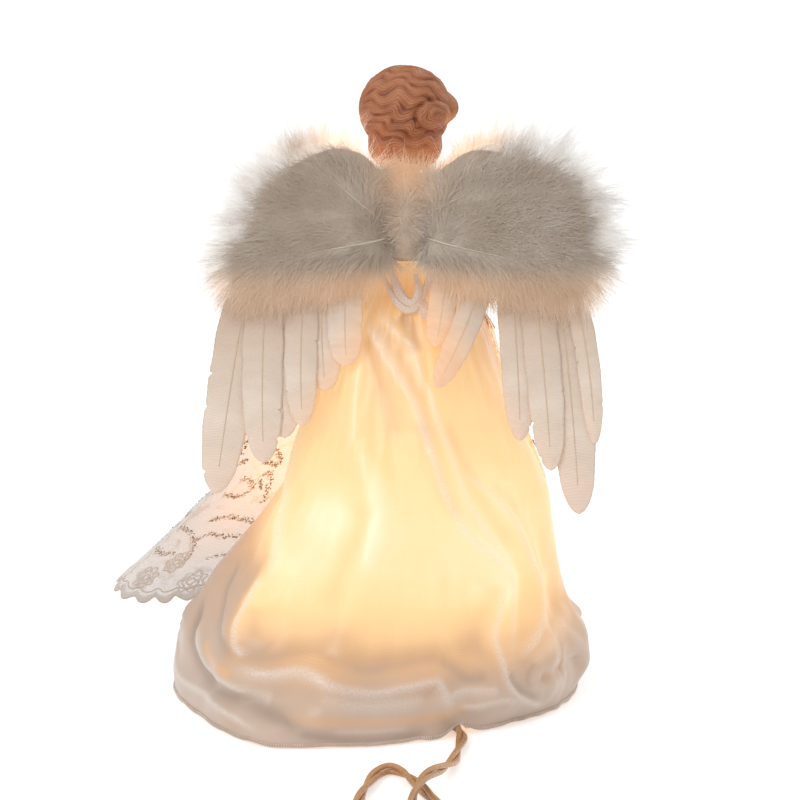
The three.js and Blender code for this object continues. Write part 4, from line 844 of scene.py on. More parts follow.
# Knot: the painted light it gives off, an even painted highlight all over it, and the depth of its strands
# and pleats
KNOT_LIGHT, KNOT_SHINE, STRAND_DEPTH, PLEAT_DEPTH = 0.16, 0.62, 0.8, 0.13
BRAID_STRANDS, BRAID_POINTS = 3, 260
# Braids: half widths and height of the oval, radius of the braid and length of a turn
WAIST_BRAID, NECK_BRAID = ((15.1, 13.6, 179.6), 1.1, 3.6), ((15.2, 11.2, 208.6), 0.9, 3.0)
# Strands of the knot: points of its line, and half widths along it
KNOT_STRANDS = [
    ([[6.4, 15.2, 179], [5.2, 17.6, 174.6], [3.4, 19.4, 169.6], [1.4, 20.4, 165.6], [-1.7, 21.0, 163.3],
      [-4.4, 20.6, 165.2], [-5.0, 19.6, 169.4], [-4.4, 17.6, 174]], [0.9, 1.5, 2.0, 1.4, 0.9]),
    ([[9.4, 14.6, 173.6], [7.3, 17.0, 170.4], [5.0, 19.2, 166.4], [2.7, 20.6, 163.0], [-0.7, 21.4, 160.6],
      [-4.0, 20.8, 161.8], [-6.6, 19.0, 165.8], [-9.4, 16.6, 172], [-11, 14.0, 178.6]],
     [0.8, 1.4, 1.8, 1.4, 1.0]),
    ([[-4.4, 20.6, 163.4], [-7.6, 20.0, 160.2], [-8.6, 20.8, 155.0], [-7.4, 22.6, 149.6],
      [-6.2, 24.2, 145.4]], [1.0, 3.4, 4.2, 2.6, 0.5]),
]


def bodice_face(grow, gathers):
    """Oval rings over the body former: half widths by height plus a stand-off, with gathers that fan out from
    the waist and the neck."""
    share = np.linspace(0, 1, BODICE_ROWS)[:, None]
    stations = np.linspace(0, 1, len(TORSO_RINGS))
    height, across, deep = (np.interp(share, stations, ring) for ring in TORSO_RINGS.T)
    angle = around(BODICE_COLUMNS)
    wave = np.sin(30 * angle) * (0.25 + 0.75 * np.abs(2 * share - 1) ** 1.5)
    stand = grow + gathers * (wave + 0.6 * np.sin(11 * angle + 5 * share))
    level = height + grow / 2 + CONE_HEIGHT
    return stacked((across + stand) * np.cos(angle), (deep + stand) * np.sin(angle), level)


def cloth_marks(thing, glow, pale=0.0):
    """The marks that the satin finish reads, and a map round and along the piece."""
    mark(thing, glow=glow, pale=pale)
    places = np.empty(3 * len(thing.data.vertices))
    thing.data.vertices.foreach_get("co", places)
    places = places.reshape(-1, 3) / MM
    lay_map(thing, np.degrees(np.arctan2(places[:, 1], places[:, 0])) * 0.35, places[:, 2])


def braid(path, radius, lay):
    """A plait round a closed path: strands that circle it, evenly spaced, each a round wire."""
    turns = np.round(length_along(path)[-1] / lay) * 2 * np.pi * np.linspace(0, 1, len(path))[:, None]
    across, rise = square_frame(path)
    phases = [turns + shift for shift in around(BRAID_STRANDS)]
    strands = [path + 0.55 * radius * (np.cos(phase) * across + np.sin(phase) * rise) for phase in phases]
    return [tube(strand, 0.5 * radius, 0.5 * radius, 6) for strand in strands]


def oval_braid(oval, radius, lay):
    """A braid round a level oval of two half widths and a height."""
    angle = np.linspace(0, 2 * np.pi, BRAID_POINTS)
    across, deep, height = oval
    return braid(stacked(across * np.cos(angle), deep * np.sin(angle), height), radius, lay)


def satin_strand(path, widths, count=110, sides=36):
    """A folded strip of satin along a path: a flat oval whose half width runs evenly between its stations,
    with pleats along it."""
    share = np.linspace(0, 1, count)[:, None]
    half = np.interp(share, np.linspace(0, 1, len(widths)), widths)
    pleat = 1 + PLEAT_DEPTH * np.sin(5 * around(sides) + 7 * share) * (half > STRAND_DEPTH)
    deep = np.minimum(half, STRAND_DEPTH)
    return closed_ends(tube(flowing(path, count), half * pleat, deep * pleat, sides, BACKWARD))


bodice_faces = [bodice_face(BODICE_STANDOFF, BODICE_GATHERS), bodice_face(BODICE_INSIDE, 0.0)[::-1]]
bodice = joined("bodice", [np.concatenate(bodice_faces)], loop=True)
bodice_height = np.concatenate(bodice_faces)[..., 2]
cloth_marks(bodice, np.interp(bodice_height, *BODICE_LIGHT))
piece(bodice, satin, "base", "satin", "gown_bodice")
gold_thread = moulded("gold_thread", (0.40, 0.25, 0.11), (0.62, 0.42, 0.20), 0.34, grain=2600.0, relief=0.5,
                      metallic=0.55)
bodice_braid = joined("bodice_braid", oval_braid(*WAIST_BRAID) + oval_braid(*NECK_BRAID))
piece(bodice_braid, gold_thread, "base", "satin")
knot = joined("back_knot", [satin_strand(*strand) for strand in KNOT_STRANDS])
cloth_marks(knot, KNOT_LIGHT, KNOT_SHINE)
piece(knot, satin, "base", "satin")

# Lace panel: sheer net over the front of the gown, with gold sequin scrolls, pale thread roses and a
# scalloped border. Its left edge is free and flares away from the gown.
LACE_TOP, LACE_HEM, LACE_TIP_LIFT = 164.0, 20.0, 29.5
LACE_START, LACE_END, LACE_START_LIFT, LACE_START_TURNS = -172.0, 6.0, 52.0, 34.0
LACE_FLARE, LACE_FLARE_TURNS, LACE_GAP = 35.0, 62.0, 2.0
LACE_COLUMNS, LACE_ROWS = 260, 120
LACE_LENGTH, LACE_MM_A_TURN = LACE_TOP - LACE_HEM, 1.45
SCALLOP_WIDTH, SCALLOP_DEPTH = 8.5, 3.2
LACE_THICKNESS, LACE_CUT, LACE_CUT_AREA = 0.4, (0.262, 0.150), 0.0262
# Sequin scrolls and roses of the flat pattern, in millimetres round the lace and down it
SCROLL_LINES = [
    [[6, 114], [1, 109.5], [0, 105], [-4, 100.5], [-10, 97.5]],
    [[-20.3, 93.4], [-27.9, 93], [-34.4, 92], [-37.7, 89.6], [-36.6, 87.2], [-29, 85], [-22, 86]],
    [[-27, 105], [-30.8, 103.2], [-37.7, 102.6], [-45.3, 104], [-51.8, 106], [-56, 109]],
    [[-31, 114.4], [-34.1, 111.8], [-38.8, 111], [-46.4, 113], [-51.5, 114], [-58, 113.5]],
    [[-27, 120.5], [-19, 122.6], [-10, 123.6], [-8, 121], [-5, 118.5], [-4, 115.4], [-12.3, 112.7],
     [-23.2, 111.3], [-30.8, 114.1], [-36.2, 119], [-36.2, 123]],
    [[-47, 124], [-50.8, 123.4], [-57, 124]],
    [[-30, 76.6], [-38, 77.1], [-45, 78.5], [-43.5, 74.6], [-37.7, 70.8]],
    [[-1, 91], [-9.4, 84.3], [-17.4, 78]],
    [[-11, 78], [-9, 73.5], [-12, 69]],
    [[-44.9, 90], [-38.6, 84], [-40, 81.4], [-46, 84.3], [-48.9, 90.1], [-51, 97]],
    [[-20, 62], [-24, 55], [-31, 53], [-34, 58], [-29, 62]],
    [[-34, 46], [-28, 38], [-20, 36], [-17, 42]],
]
SEQUIN_RADIUS, SEQUIN_STEP, SEQUIN_STRAY = 0.42, 0.2, 0.62
SPRIG_COLUMNS, SPRIG_ROWS, SPRIG_APART, SPRIG_DROP = 5, 4, 40.0, 31.0
SPRIG_FIRST, SPRIG_LAST, SPRIG_TOP, SPRIG_SIZE = 16.0, -74.0, 20.0, 1.45
ROSES = [(-24.3, 132.9), (-33, 124.5), (-46.8, 135.5), *((mid, 133.0) for mid in range(-70, -240, -24))]
# Roses: radius and petals of each ring, width and lift of the thread. Trims: radius, density and painted warm
# light
ROSE_RINGS, ROSE_THREAD = [(4.6, 7), (3.0, 5), (1.5, 4)], (0.55, 0.2)
BORDER_RADIUS, ROSE_COVER, BORDER_COVER, TRIM_PAINTED_LIGHT = 0.34, 0.66, 0.85, 0.06


def lace_at(turn, share, lift=0.0):
    """Place on the lace by turn and share from its top to its hem: the gown's reach plus a gap, and a flare
    that grows towards the free edge and the hem, with a few soft ripples."""
    edge = eased((turn - LACE_END + LACE_FLARE_TURNS) / LACE_FLARE_TURNS)
    start = eased((LACE_START + LACE_START_TURNS - turn) / LACE_START_TURNS)
    hem = LACE_HEM + LACE_TIP_LIFT * edge**4 + LACE_START_LIFT * start
    height = LACE_TOP + (hem - LACE_TOP) * share
    flare = LACE_FLARE * edge * np.maximum(share, 0) ** 0.8
    ripple = 1.6 * edge * share * np.sin(np.radians(turn * 9) + 4 * share)
    clear = 3.4 * bump(height - 30, 18)
    reach = gown_reach(turn, height) + LACE_GAP + clear + flare + ripple + lift
    return polar(turn, reach, height)


def scallop(distance, width, depth):
    """Scalloped border: a row of round arches, each as wide and as deep as given."""
    return depth * (1 - np.abs(np.sin(np.pi * distance / width)))


def thicken(thing, thickness):
    """Gives a sheet a thickness, half of it on either side."""
    body = thing.modifiers.new("thickness", "SOLIDIFY")
    body.thickness, body.offset = thickness * MM, 0.0


def net_finish():
    """Sheer net: threads round small cells, a cloudy pattern of closer threads, and a denser border. It is
    white with a faint painted glow, and takes painted peach light over the lit gown."""
    finish, tree, shader = finish_of("lace_net", (0.86, 0.84, 0.82), 0.7)
    place, warm = put(tree, "TexCoord").outputs["UV"], stored(tree, "warm")
    cells = put(tree, "TexVoronoi", {"Vector": place, "Scale": 1300.0, "Randomness": 0.3},
                feature="DISTANCE_TO_EDGE").outputs["Distance"]
    threads = remap(tree, cells, (0.56, 0.36), (0.04, 0.2))
    vines = remap(tree, noise(tree, place, 90.0, 3.0, 1.4), (0.0, 0.16), (0.55, 0.64))
    cover = sums(tree, "ADD", threads, vines)
    feed(tree, shader, {
        "Alpha": sums(tree, "MAXIMUM", cover, stored(tree, "border"), clamp=True),
        "Base Color": ramp(tree, warm, [(0.0, (0.80, 0.77, 0.745)), (0.6, (0.90, 0.72, 0.56))]),
        "Emission Color": ramp(tree, warm, [(0.0, (0.07, 0.066, 0.064)), (0.6, (0.40, 0.25, 0.14))]),
        "Emission Strength": 1.0})
    return finish


lace_turn = np.linspace(LACE_START, LACE_END, LACE_COLUMNS)
lace_share = np.linspace(0, 1, LACE_ROWS)
turn_grid, share_grid = np.meshgrid(lace_turn, lace_share)
hem_bite = scallop(turn_grid * LACE_MM_A_TURN, SCALLOP_WIDTH, SCALLOP_DEPTH) / LACE_LENGTH * share_grid**14
side_bite = scallop(share_grid * LACE_LENGTH, SCALLOP_WIDTH * 1.1, SCALLOP_DEPTH) / LACE_MM_A_TURN
side_bite = side_bite * eased((turn_grid - LACE_END + 8) / 8) ** 2 * rising(share_grid, 0.76, 0.1)
lace_grid = lace_at(turn_grid - side_bite, share_grid - hem_bite)
lace = mesh_object("lace", lace_grid, grid_quads(LACE_ROWS, LACE_COLUMNS))
lay_map(lace, turn_grid * LACE_MM_A_TURN, share_grid * LACE_LENGTH)
# Painted peach light where the lace lies over the lit gown, and a little at its top.
lace_painted_light = 0.55 * rising(turn_grid, 2, -34) * rising(share_grid, 1, -0.42)
lace_painted_light = lace_painted_light + 0.2 * rising(share_grid, 0.66, -0.2)
lace_rim = np.maximum(rising(share_grid, 0.965, 0.02), eased((turn_grid - LACE_END + 1.6) / 1.2))
mark(lace, warm=lace_painted_light, border=0.72 * lace_rim)
thicken(lace, LACE_THICKNESS)
net = net_finish()
piece(lace, net, "base", "lace", "lace_overskirt")


def on_lace(across, along, lift):
    """Place on the lace of a point of its flat pattern, in millimetres round it and down it."""
    return lace_at(across / LACE_MM_A_TURN, np.clip(along / LACE_LENGTH, 0.02, 0.985), lift)


def scroll(middle, size, start, turns, hand):
    """A scroll: a stem that sweeps in and winds up in a spiral whose radius shrinks evenly."""
    t = np.linspace(0, 1, 60)
    radius = size * (1 - 0.82 * t) * (1 + 0.9 * np.maximum(0, 0.22 - t) / 0.22)
    angle = start + hand * 2 * np.pi * turns * t
    return stacked(middle[0] + radius * np.cos(angle), middle[1] + radius * np.sin(angle))


def lace_ribbon(flat, width, lift):
    """A flat ribbon on the lace along a line of its pattern, widest in the middle, with a raised back."""
    along = unit(np.gradient(flat, axis=0))
    side = stacked(-along[:, 1], along[:, 0])
    taper = np.sin(np.pi * np.linspace(0.04, 0.96, len(flat))) ** 0.45
    across = np.array([-1, -0.5, 0.5, 1]) * width / 2
    spread = flat[:, None] + (taper[:, None] * across[None])[..., None] * side[:, None]
    rise = lift + np.array([0, 0.35, 0.35, 0])
    top, under = (on_lace(spread[..., 0], spread[..., 1], way * rise) for way in (1, -1))
    return np.concatenate([top, under[:, ::-1]], 1)


def sprig(across, along, size, lean):
    """A sprig of the pattern: a long waved stem with two pairs of scrolls that mirror each other about it."""
    lines = [flowing([[-1.5, 12], [1.4, 5], [0, 0], [-1.0, -6], [0, -10]], 60)]
    for hand, start in ((1, np.pi), (-1, 0.0)):
        lines.append(scroll((7.4 * hand, 0.0), 3.9, start, 1.15, hand))
        lines.append(scroll((4.6 * hand, -9.4), 2.4, start, 0.9, hand))
    turn = np.array([[np.cos(lean), np.sin(lean)], [-np.sin(lean), np.cos(lean)]])
    return [size * line @ turn + [across, along] for line in lines]


scroll_draw = np.random.default_rng(31)
scroll_flat = [flowing(line, 90) for line in SCROLL_LINES]
for row in range(SPRIG_ROWS):
    for column in range(SPRIG_COLUMNS):
        stem = LACE_START * LACE_MM_A_TURN + SPRIG_FIRST + SPRIG_APART * (column + 0.5 * (row % 2))
        if stem < SPRIG_LAST:
            lean = scroll_draw.normal(0, 0.3)
            scroll_flat.extend(sprig(stem, SPRIG_TOP + SPRIG_DROP * row, SPRIG_SIZE, lean))


def sequins(lines):
    """Tiny six-sided discs strewn along the lines of the lace's pattern, each tilted its own way."""
    counts = [int(length_along(line)[-1] / SEQUIN_STEP) for line in lines]
    flat = np.concatenate([flowing(line, count) for line, count in zip(lines, counts)])
    flat = flat + scroll_draw.normal(0, SEQUIN_STRAY, flat.shape)
    count = len(flat)
    lift = scroll_draw.choice([-0.5, 0.5], count)
    middle = on_lace(flat[:, 0], flat[:, 1], lift)
    across = unit(on_lace(flat[:, 0] + 1, flat[:, 1], lift) - middle)
    down = unit(on_lace(flat[:, 0], flat[:, 1] + 1, lift) - middle)
    facing = unit(unit(np.cross(across, down)) + scroll_draw.normal(0, 0.3, (count, 3)))
    across = unit(np.cross(down, facing))
    down = np.cross(facing, across)
    angle = around(6)[None, :, None]
    radius = SEQUIN_RADIUS * scroll_draw.uniform(0.7, 1.15, count)[:, None, None]
    rim = middle[:, None] + radius * (np.cos(angle) * across[:, None] + np.sin(angle) * down[:, None])
    points = np.concatenate([rim, (middle + 0.1 * facing)[:, None], (middle - 0.1 * facing)[:, None]], 1)
    turn = np.arange(6)
    fan = np.concatenate([stacked(turn, (turn + 1) % 6, 6), stacked((turn + 1) % 6, turn, 7)])
    return points, copies(fan, 8, count)


sequin = moulded("sequin_gold", (0.35, 0.22, 0.13), (0.74, 0.54, 0.36), 0.4, grain=1500.0, relief=0.2,
                 metallic=0.2)
scrolls = piece(mesh_object("lace_scrolls", *sequins(scroll_flat)), sequin, "base", "lace")

rose_angle = np.linspace(0, 2 * np.pi, 90)[:, None]
rose_way = np.concatenate([np.cos(rose_angle), np.sin(rose_angle)], 1)
rose_rings = [radius * (1 + 0.14 * np.cos(petals * rose_angle)) * rose_way for radius, petals in ROSE_RINGS]
rose_threads = [lace_ribbon(ring + middle, *ROSE_THREAD) for middle in ROSES for ring in rose_rings]
roses = joined("lace_roses", rose_threads)
border_lines = [flowing(lace_grid[-1][::2], 900), flowing(lace_grid[::-1, -1][:40][::2], 130),
                flowing(lace_grid[-5][::3], 700)]
border_cord = joined("lace_border", [wire(line, BORDER_RADIUS, 6) for line in border_lines])
for trim, cover in ((roses, ROSE_COVER), (border_cord, BORDER_COVER)):
    mark(trim, border=cover, warm=TRIM_PAINTED_LIGHT)
    piece(trim, net, "base", "lace")

# Arms: bell sleeves of the same satin, wrinkled at the elbow and open at the cuff, with a gold braid, and two
# porcelain hands with fingers set palm to palm.
SLEEVE_PATH = np.array([[24.2, 0, 199], [30.6, -2, 195], [33.2, -9, 185], [27.2, -22, 179], [15.2, -35, 184]])
SLEEVE_RADII = np.array([6.4, 7.6, 8.2, 8.6, 10.0])
SLEEVE_WALL, SLEEVE_ROWS, SLEEVE_SIDES, SLEEVE_LIGHT = 0.9, 90, 96, 0.06
HAND_PATH = np.array([[20.2, -29.7, 182.0], [10, -38.5, 185], [5.4, -42.5, 188.5], [3.4, -44.4, 193],
                      [3.2, -45, 196]])
HAND_RADII = np.array([[2.5, 2.5], [2.6, 2.7], [2.5, 3.6], [2.1, 4.0], [1.7, 3.6]])
# Fingers: offset across the palm, length and radius
FINGERS = [(-2.9, 7.2, 0.95), (-0.95, 8.6, 1.02), (0.95, 8.9, 1.04), (2.9, 8.0, 1.0)]
THUMB_PATH = np.array([[4.6, -41.4, 189.2], [4.0, -40.4, 192.6], [2.6, -41.0, 196.2]])
THUMB_RADII = np.array([1.5, 1.25, 0.7])
SLEEVE_CUT, CUFF_BRAID = (0.052, 0.048), (0.8, 2.6)
SKIN = (0.80, 0.56, 0.42)
SIDES = ((1, "left"), (-1, "right"))


def limb(path, radii, count, sides, wave=None):
    """An oval carried along a path: two radii that run evenly between stations, with an optional swell."""
    share = np.linspace(0, 1, count)[:, None]
    stations, radii = np.linspace(0, 1, len(path)), np.reshape(radii, (len(path), -1))
    first, second = (np.interp(share, stations, radii[:, k]) for k in (0, -1))
    swell = 1 if wave is None else 1 + wave(share, around(sides)[None])
    return tube(flowing(path, count), first * swell, second * swell, sides)


def sleeve_wave(share, angle):
    """Soft folds that fan out towards the cuff, wrinkles at the elbow, and a gathered shoulder."""
    fan = 0.075 * share**1.5 * np.sin(9 * angle + 1.4 * np.sin(2 * angle))
    elbow = 0.035 * np.sin(48 * share + 2 * np.cos(angle)) * bump(share - 0.5, 0.2)
    gather = 0.05 * np.sin(16 * angle) * eased(1 - share / 0.3)
    return fan + elbow + gather - 0.55 * (1 - eased(share / 0.07))


def finger(offset, length, radius):
    """A finger from the end of the palm: a round limb with a knuckle halfway and a narrow tip."""
    foot = HAND_PATH[-1] + [0, offset * 0.92, -1.6]
    tip = foot + [-1.1, -0.06 * offset, length + 1.2]
    knuckle = (foot + tip) / 2 + [0.25, 0, 0.3]
    return closed_ends(limb([foot, knuckle, tip], radius * np.array([1.1, 1.0, 0.62]), 26, 14))


def painted(thing, colors):
    """Stores a colour for each point of a mesh, for its finish to read. One colour serves for all points."""
    values = np.ones((len(thing.data.vertices), 4), np.float32)
    values[:, :3] = np.reshape(colors, (-1, 3))
    thing.data.attributes.new("paint", "FLOAT_COLOR", "POINT").data.foreach_set("color", values.ravel())


def porcelain_finish():
    """Bisque porcelain: the paint on it, a little cloudy, over a body that light enters slightly."""
    finish, tree, shader = finish_of("porcelain", SKIN, 0.38)
    paint = put(tree, "Attribute", attribute_name="paint").outputs["Color"]
    place = put(tree, "TexCoord").outputs["Object"]
    cloud = ramp(tree, noise(tree, place, 130.0, 4.0), [(0.3, (0.92, 0.90, 0.88)), (0.7, WHITE)])
    feed(tree, shader, {
        "Base Color": blend(tree, 1.0, paint, cloud, "MULTIPLY"),
        "Roughness": remap(tree, noise(tree, place, 1500.0, 2.0), (0.32, 0.46)),
        "Subsurface Weight": 0.08, "Subsurface Radius": (0.004, 0.002, 0.001)})
    return finish


porcelain = porcelain_finish()
sleeve_faces = [limb(SLEEVE_PATH, SLEEVE_RADII - wall, SLEEVE_ROWS, SLEEVE_SIDES, sleeve_wave)
                for wall in (0, SLEEVE_WALL)]
cuff_line = sleeve_faces[0][-2][[*range(SLEEVE_SIDES), 0]]
hand_grids = [closed_ends(limb(HAND_PATH, HAND_RADII, 60, 32)), *(finger(*shape) for shape in FINGERS),
              closed_ends(limb(THUMB_PATH, THUMB_RADII, 22, 14))]
for side, name in SIDES:
    flip, arm = np.array([side, 1, 1]), f"arm_{name}"
    sleeve_grid = np.concatenate([sleeve_faces[0], sleeve_faces[1][::-1]]) * flip
    sleeve = joined(f"sleeve_{name}_satin", [sleeve_grid], loop=True)
    cloth_marks(sleeve, SLEEVE_LIGHT)
    piece(sleeve, satin, arm, "satin", f"sleeve_{name}")
    cuff_braid = joined(f"cuff_{name}_braid", braid(cuff_line * flip, *CUFF_BRAID))
    piece(cuff_braid, gold_thread, arm, "satin")
    hand = joined(f"hand_{name}_fingers", [grid * flip for grid in hand_grids])
    painted(hand, SKIN)
    piece(hand, porcelain, arm, "porcelain", f"hand_{name}")

# Head: slip-cast porcelain on a neck peg, with a plain calm doll's face, lowered lids and painted lashes,
# brows and lips.
HEAD_CENTRE, HEAD_RADII = np.array([0.0, -0.5, 235.0]), np.array([14.2, 15.5, 17.0])
FACE_COLUMNS, FACE_ROWS = 320, 190
BLUSH, LIP, LASH, BROW = (0.78, 0.36, 0.27), (0.56, 0.16, 0.14), (0.10, 0.05, 0.035), (0.30, 0.15, 0.08)
EYE_REACH, EYE_HEIGHT, EYE_HALF = 5.3, 0.4, 2.7
MOUTH_HEIGHT, MOUTH_HALF = -8.4, 3.1
# Hills and hollows of the face: height, distance to the side and half width, level and half height
FACE_HILLS = [
    (0.5, 4.5, 5.0, 5.4, 2.2), (-1.3, EYE_REACH, 3.6, 1.2, 3.0), (1.15, EYE_REACH, 3.1, EYE_HEIGHT, 2.0),
    (0.7, 1.6, 0.9, -4.6, 0.9), (0.8, 6.8, 3.6, -4.6, 3.6), (-0.5, 0, 0.8, -6.4, 0.8),
    (0.75, 0, 0.8 * MOUTH_HALF, MOUTH_HEIGHT + 0.75, 0.75),
    (0.9, 0, 0.8 * MOUTH_HALF, MOUTH_HEIGHT - 0.95, 0.9),
    (-0.55, 0, MOUTH_HALF, MOUTH_HEIGHT, 0.3), (-0.5, 0, 4, -11.2, 1.1), (1.3, 0, 4.2, -13.8, 2.4),
]
NECK_FOOT, NECK_TOP, NECK_RADIUS, NECK_WAIST = 202.9, 228.0, 5.2, 0.5


def doll_face():
    """Ellipsoid with soft hills and hollows for brow, lids, nose, cheeks, lips and chin, each a bell curve
    over the front, and the colours painted on it."""
    sweep = around(FACE_COLUMNS)
    lon = sweep - 0.5 * np.sin(sweep)
    lat = np.linspace(np.pi / 2, -np.pi / 2, FACE_ROWS)[:, None]
    way = stacked(np.cos(lat) * np.sin(lon), -np.cos(lat) * np.cos(lon), np.sin(lat))
    x, up = way[..., 0] * HEAD_RADII[0], way[..., 2] * HEAD_RADII[2]
    front = rising(-way[..., 1], 0.15, 0.3)
    side = np.abs(x) - EYE_REACH
    hills = 2.5 * bump(x, 1.7) * rising(up, 3.2, -7.4) * rising(up, -5.6, 1.5)
    for tall, aside, half, level, half_tall in FACE_HILLS:
        hills += tall * bump(np.abs(x) - aside, half) * bump(up - level, half_tall)
    jaw = 1 - 0.1 * rising(-up, 3, 14)
    points = HEAD_CENTRE + way * HEAD_RADII * stacked(jaw, jaw, 1)
    points[..., 1] -= hills * front
    color = np.zeros_like(points) + SKIN

    def paint(tone, amount):
        color[:] += (np.array(tone) - color) * np.clip(amount * front, 0, 1)[..., None]

    paint(BLUSH, 0.5 * bump(np.abs(x) - 7.4, 3.6) * bump(up + 4.4, 3.2))
    arc = EYE_HEIGHT - 1.3 * (1 - (side / EYE_HALF) ** 2)
    paint(LASH, rising(np.abs(up - arc), 0.36, -0.16) * (np.abs(side) < EYE_HALF))
    fold = EYE_HEIGHT + 1.7 - 0.12 * side**2
    paint(BROW, 0.4 * bump(up - fold, 0.25) * (np.abs(side) < EYE_HALF))
    brow = 4.9 - 0.1 * (side - 0.6) ** 2
    paint(BROW, 0.8 * rising(np.abs(up - brow), 0.5, -0.35) * rising(np.abs(side - 0.2), 3.2, -0.7))
    bow = MOUTH_HEIGHT + 1.45 * (1 - (np.abs(x) / MOUTH_HALF) ** 1.5) - 0.35 * bump(x, 0.7)
    foot = MOUTH_HEIGHT - 1.7 * (1 - (x / MOUTH_HALF) ** 2)
    paint(LIP, 0.75 * eased((bow - up) / 0.3) * eased((up - foot) / 0.3) * (np.abs(x) < MOUTH_HALF))
    paint(LASH, 0.35 * bump(up - MOUTH_HEIGHT, 0.2) * (np.abs(x) < MOUTH_HALF * 0.95))
    return points, color


face_grid, face_color = doll_face()
neck_share = np.linspace(0, 1, 40)[:, None]
neck_line = np.array([0, 0, NECK_FOOT]) + neck_share * [0, 0, NECK_TOP - NECK_FOOT]
neck_grid = wire(neck_line, NECK_RADIUS - NECK_WAIST * np.sin(np.pi * neck_share), 40, BACKWARD)
head = joined("head_face", [face_grid, neck_grid])
painted(head, np.concatenate([face_color.reshape(-1, 3), np.tile(SKIN, (neck_grid.size // 3, 1))]))
piece(head, porcelain, "base", "porcelain", "head")

# Hair: moulded with the head and painted terracotta, combed back in soft waves to a coil on the right, with a
# loose fall of strands at the nape. The thin shell lets some light through beside the ears and the neck.
HAIR_CENTRE = np.array([0.0, 3.5, 237.2])
HAIR_FORMS = [(HAIR_CENTRE, (18, 17.5, 16.8)), (np.array([0.0, 8.5, 223.5]), (14.5, 9, 11)),
              (np.array([-15.2, 2.0, 237.5]), (5.6, 5.6, 5.6))]
FACE_OPENING = (np.array([0.0, -21.0, 230.0]), np.array([13.5, 19, 20]))
HAIR_COLUMNS, HAIR_ROWS = 420, 200
BUN_MIDDLE, BUN_REACH = (-11.2, 235.9), 5.8
LOCK_WIDTH, STRAND_SHARE = 4.3, 4.5
FORM_BLEND, HAIRLINE_FALL, HAIRLINE_TRIES, EDGE_TUCK = 1.3, 2.45, 240, 3.4


def hair_reach(way):
    """Distance from the hair's middle to the outside of its ellipsoids along each direction, rounded where
    two of them meet."""
    hits = []
    for middle, radii in HAIR_FORMS:
        d = way / radii
        o = (HAIR_CENTRE - middle) / np.asarray(radii)
        a, b, c = np.sum(d * d, -1), np.sum(d * o, -1), np.sum(o * o) - 1
        root = b * b - a * c
        hits.append(np.where(root > 0, (-b + np.sqrt(np.maximum(root, 0))) / a, 0))
    hits = np.maximum(np.stack(hits), 0.01)
    return np.log(np.sum(np.exp(FORM_BLEND * hits), 0)) / FORM_BLEND


def hair_ways(fall, spin):
    """Directions at an angle from straight back, and a spin round that line."""
    return stacked(np.sin(fall) * np.cos(spin), np.cos(fall), np.sin(fall) * np.sin(spin))


def locks_of(field, strength, sway):
    """Relief of locks that lie side by side, one for each whole number of the field: a rounded back, fine
    strands along it, and how deep each point lies. Grooves fade in and out by their strength."""
    back = (0.5 - 0.5 * np.cos(2 * np.pi * field)) ** 0.75
    strands = np.sin(2 * np.pi * STRAND_SHARE * field + sway)
    fine = np.sin(2 * np.pi * 2.3 * STRAND_SHARE * field - 1.7 * sway)
    lift = strength * (back - 0.6) + 0.17 * strands + 0.07 * fine
    return lift, 0.62 * strength * (1 - back) + 0.17 * (1 - strands) + 0.07 * (1 - fine)


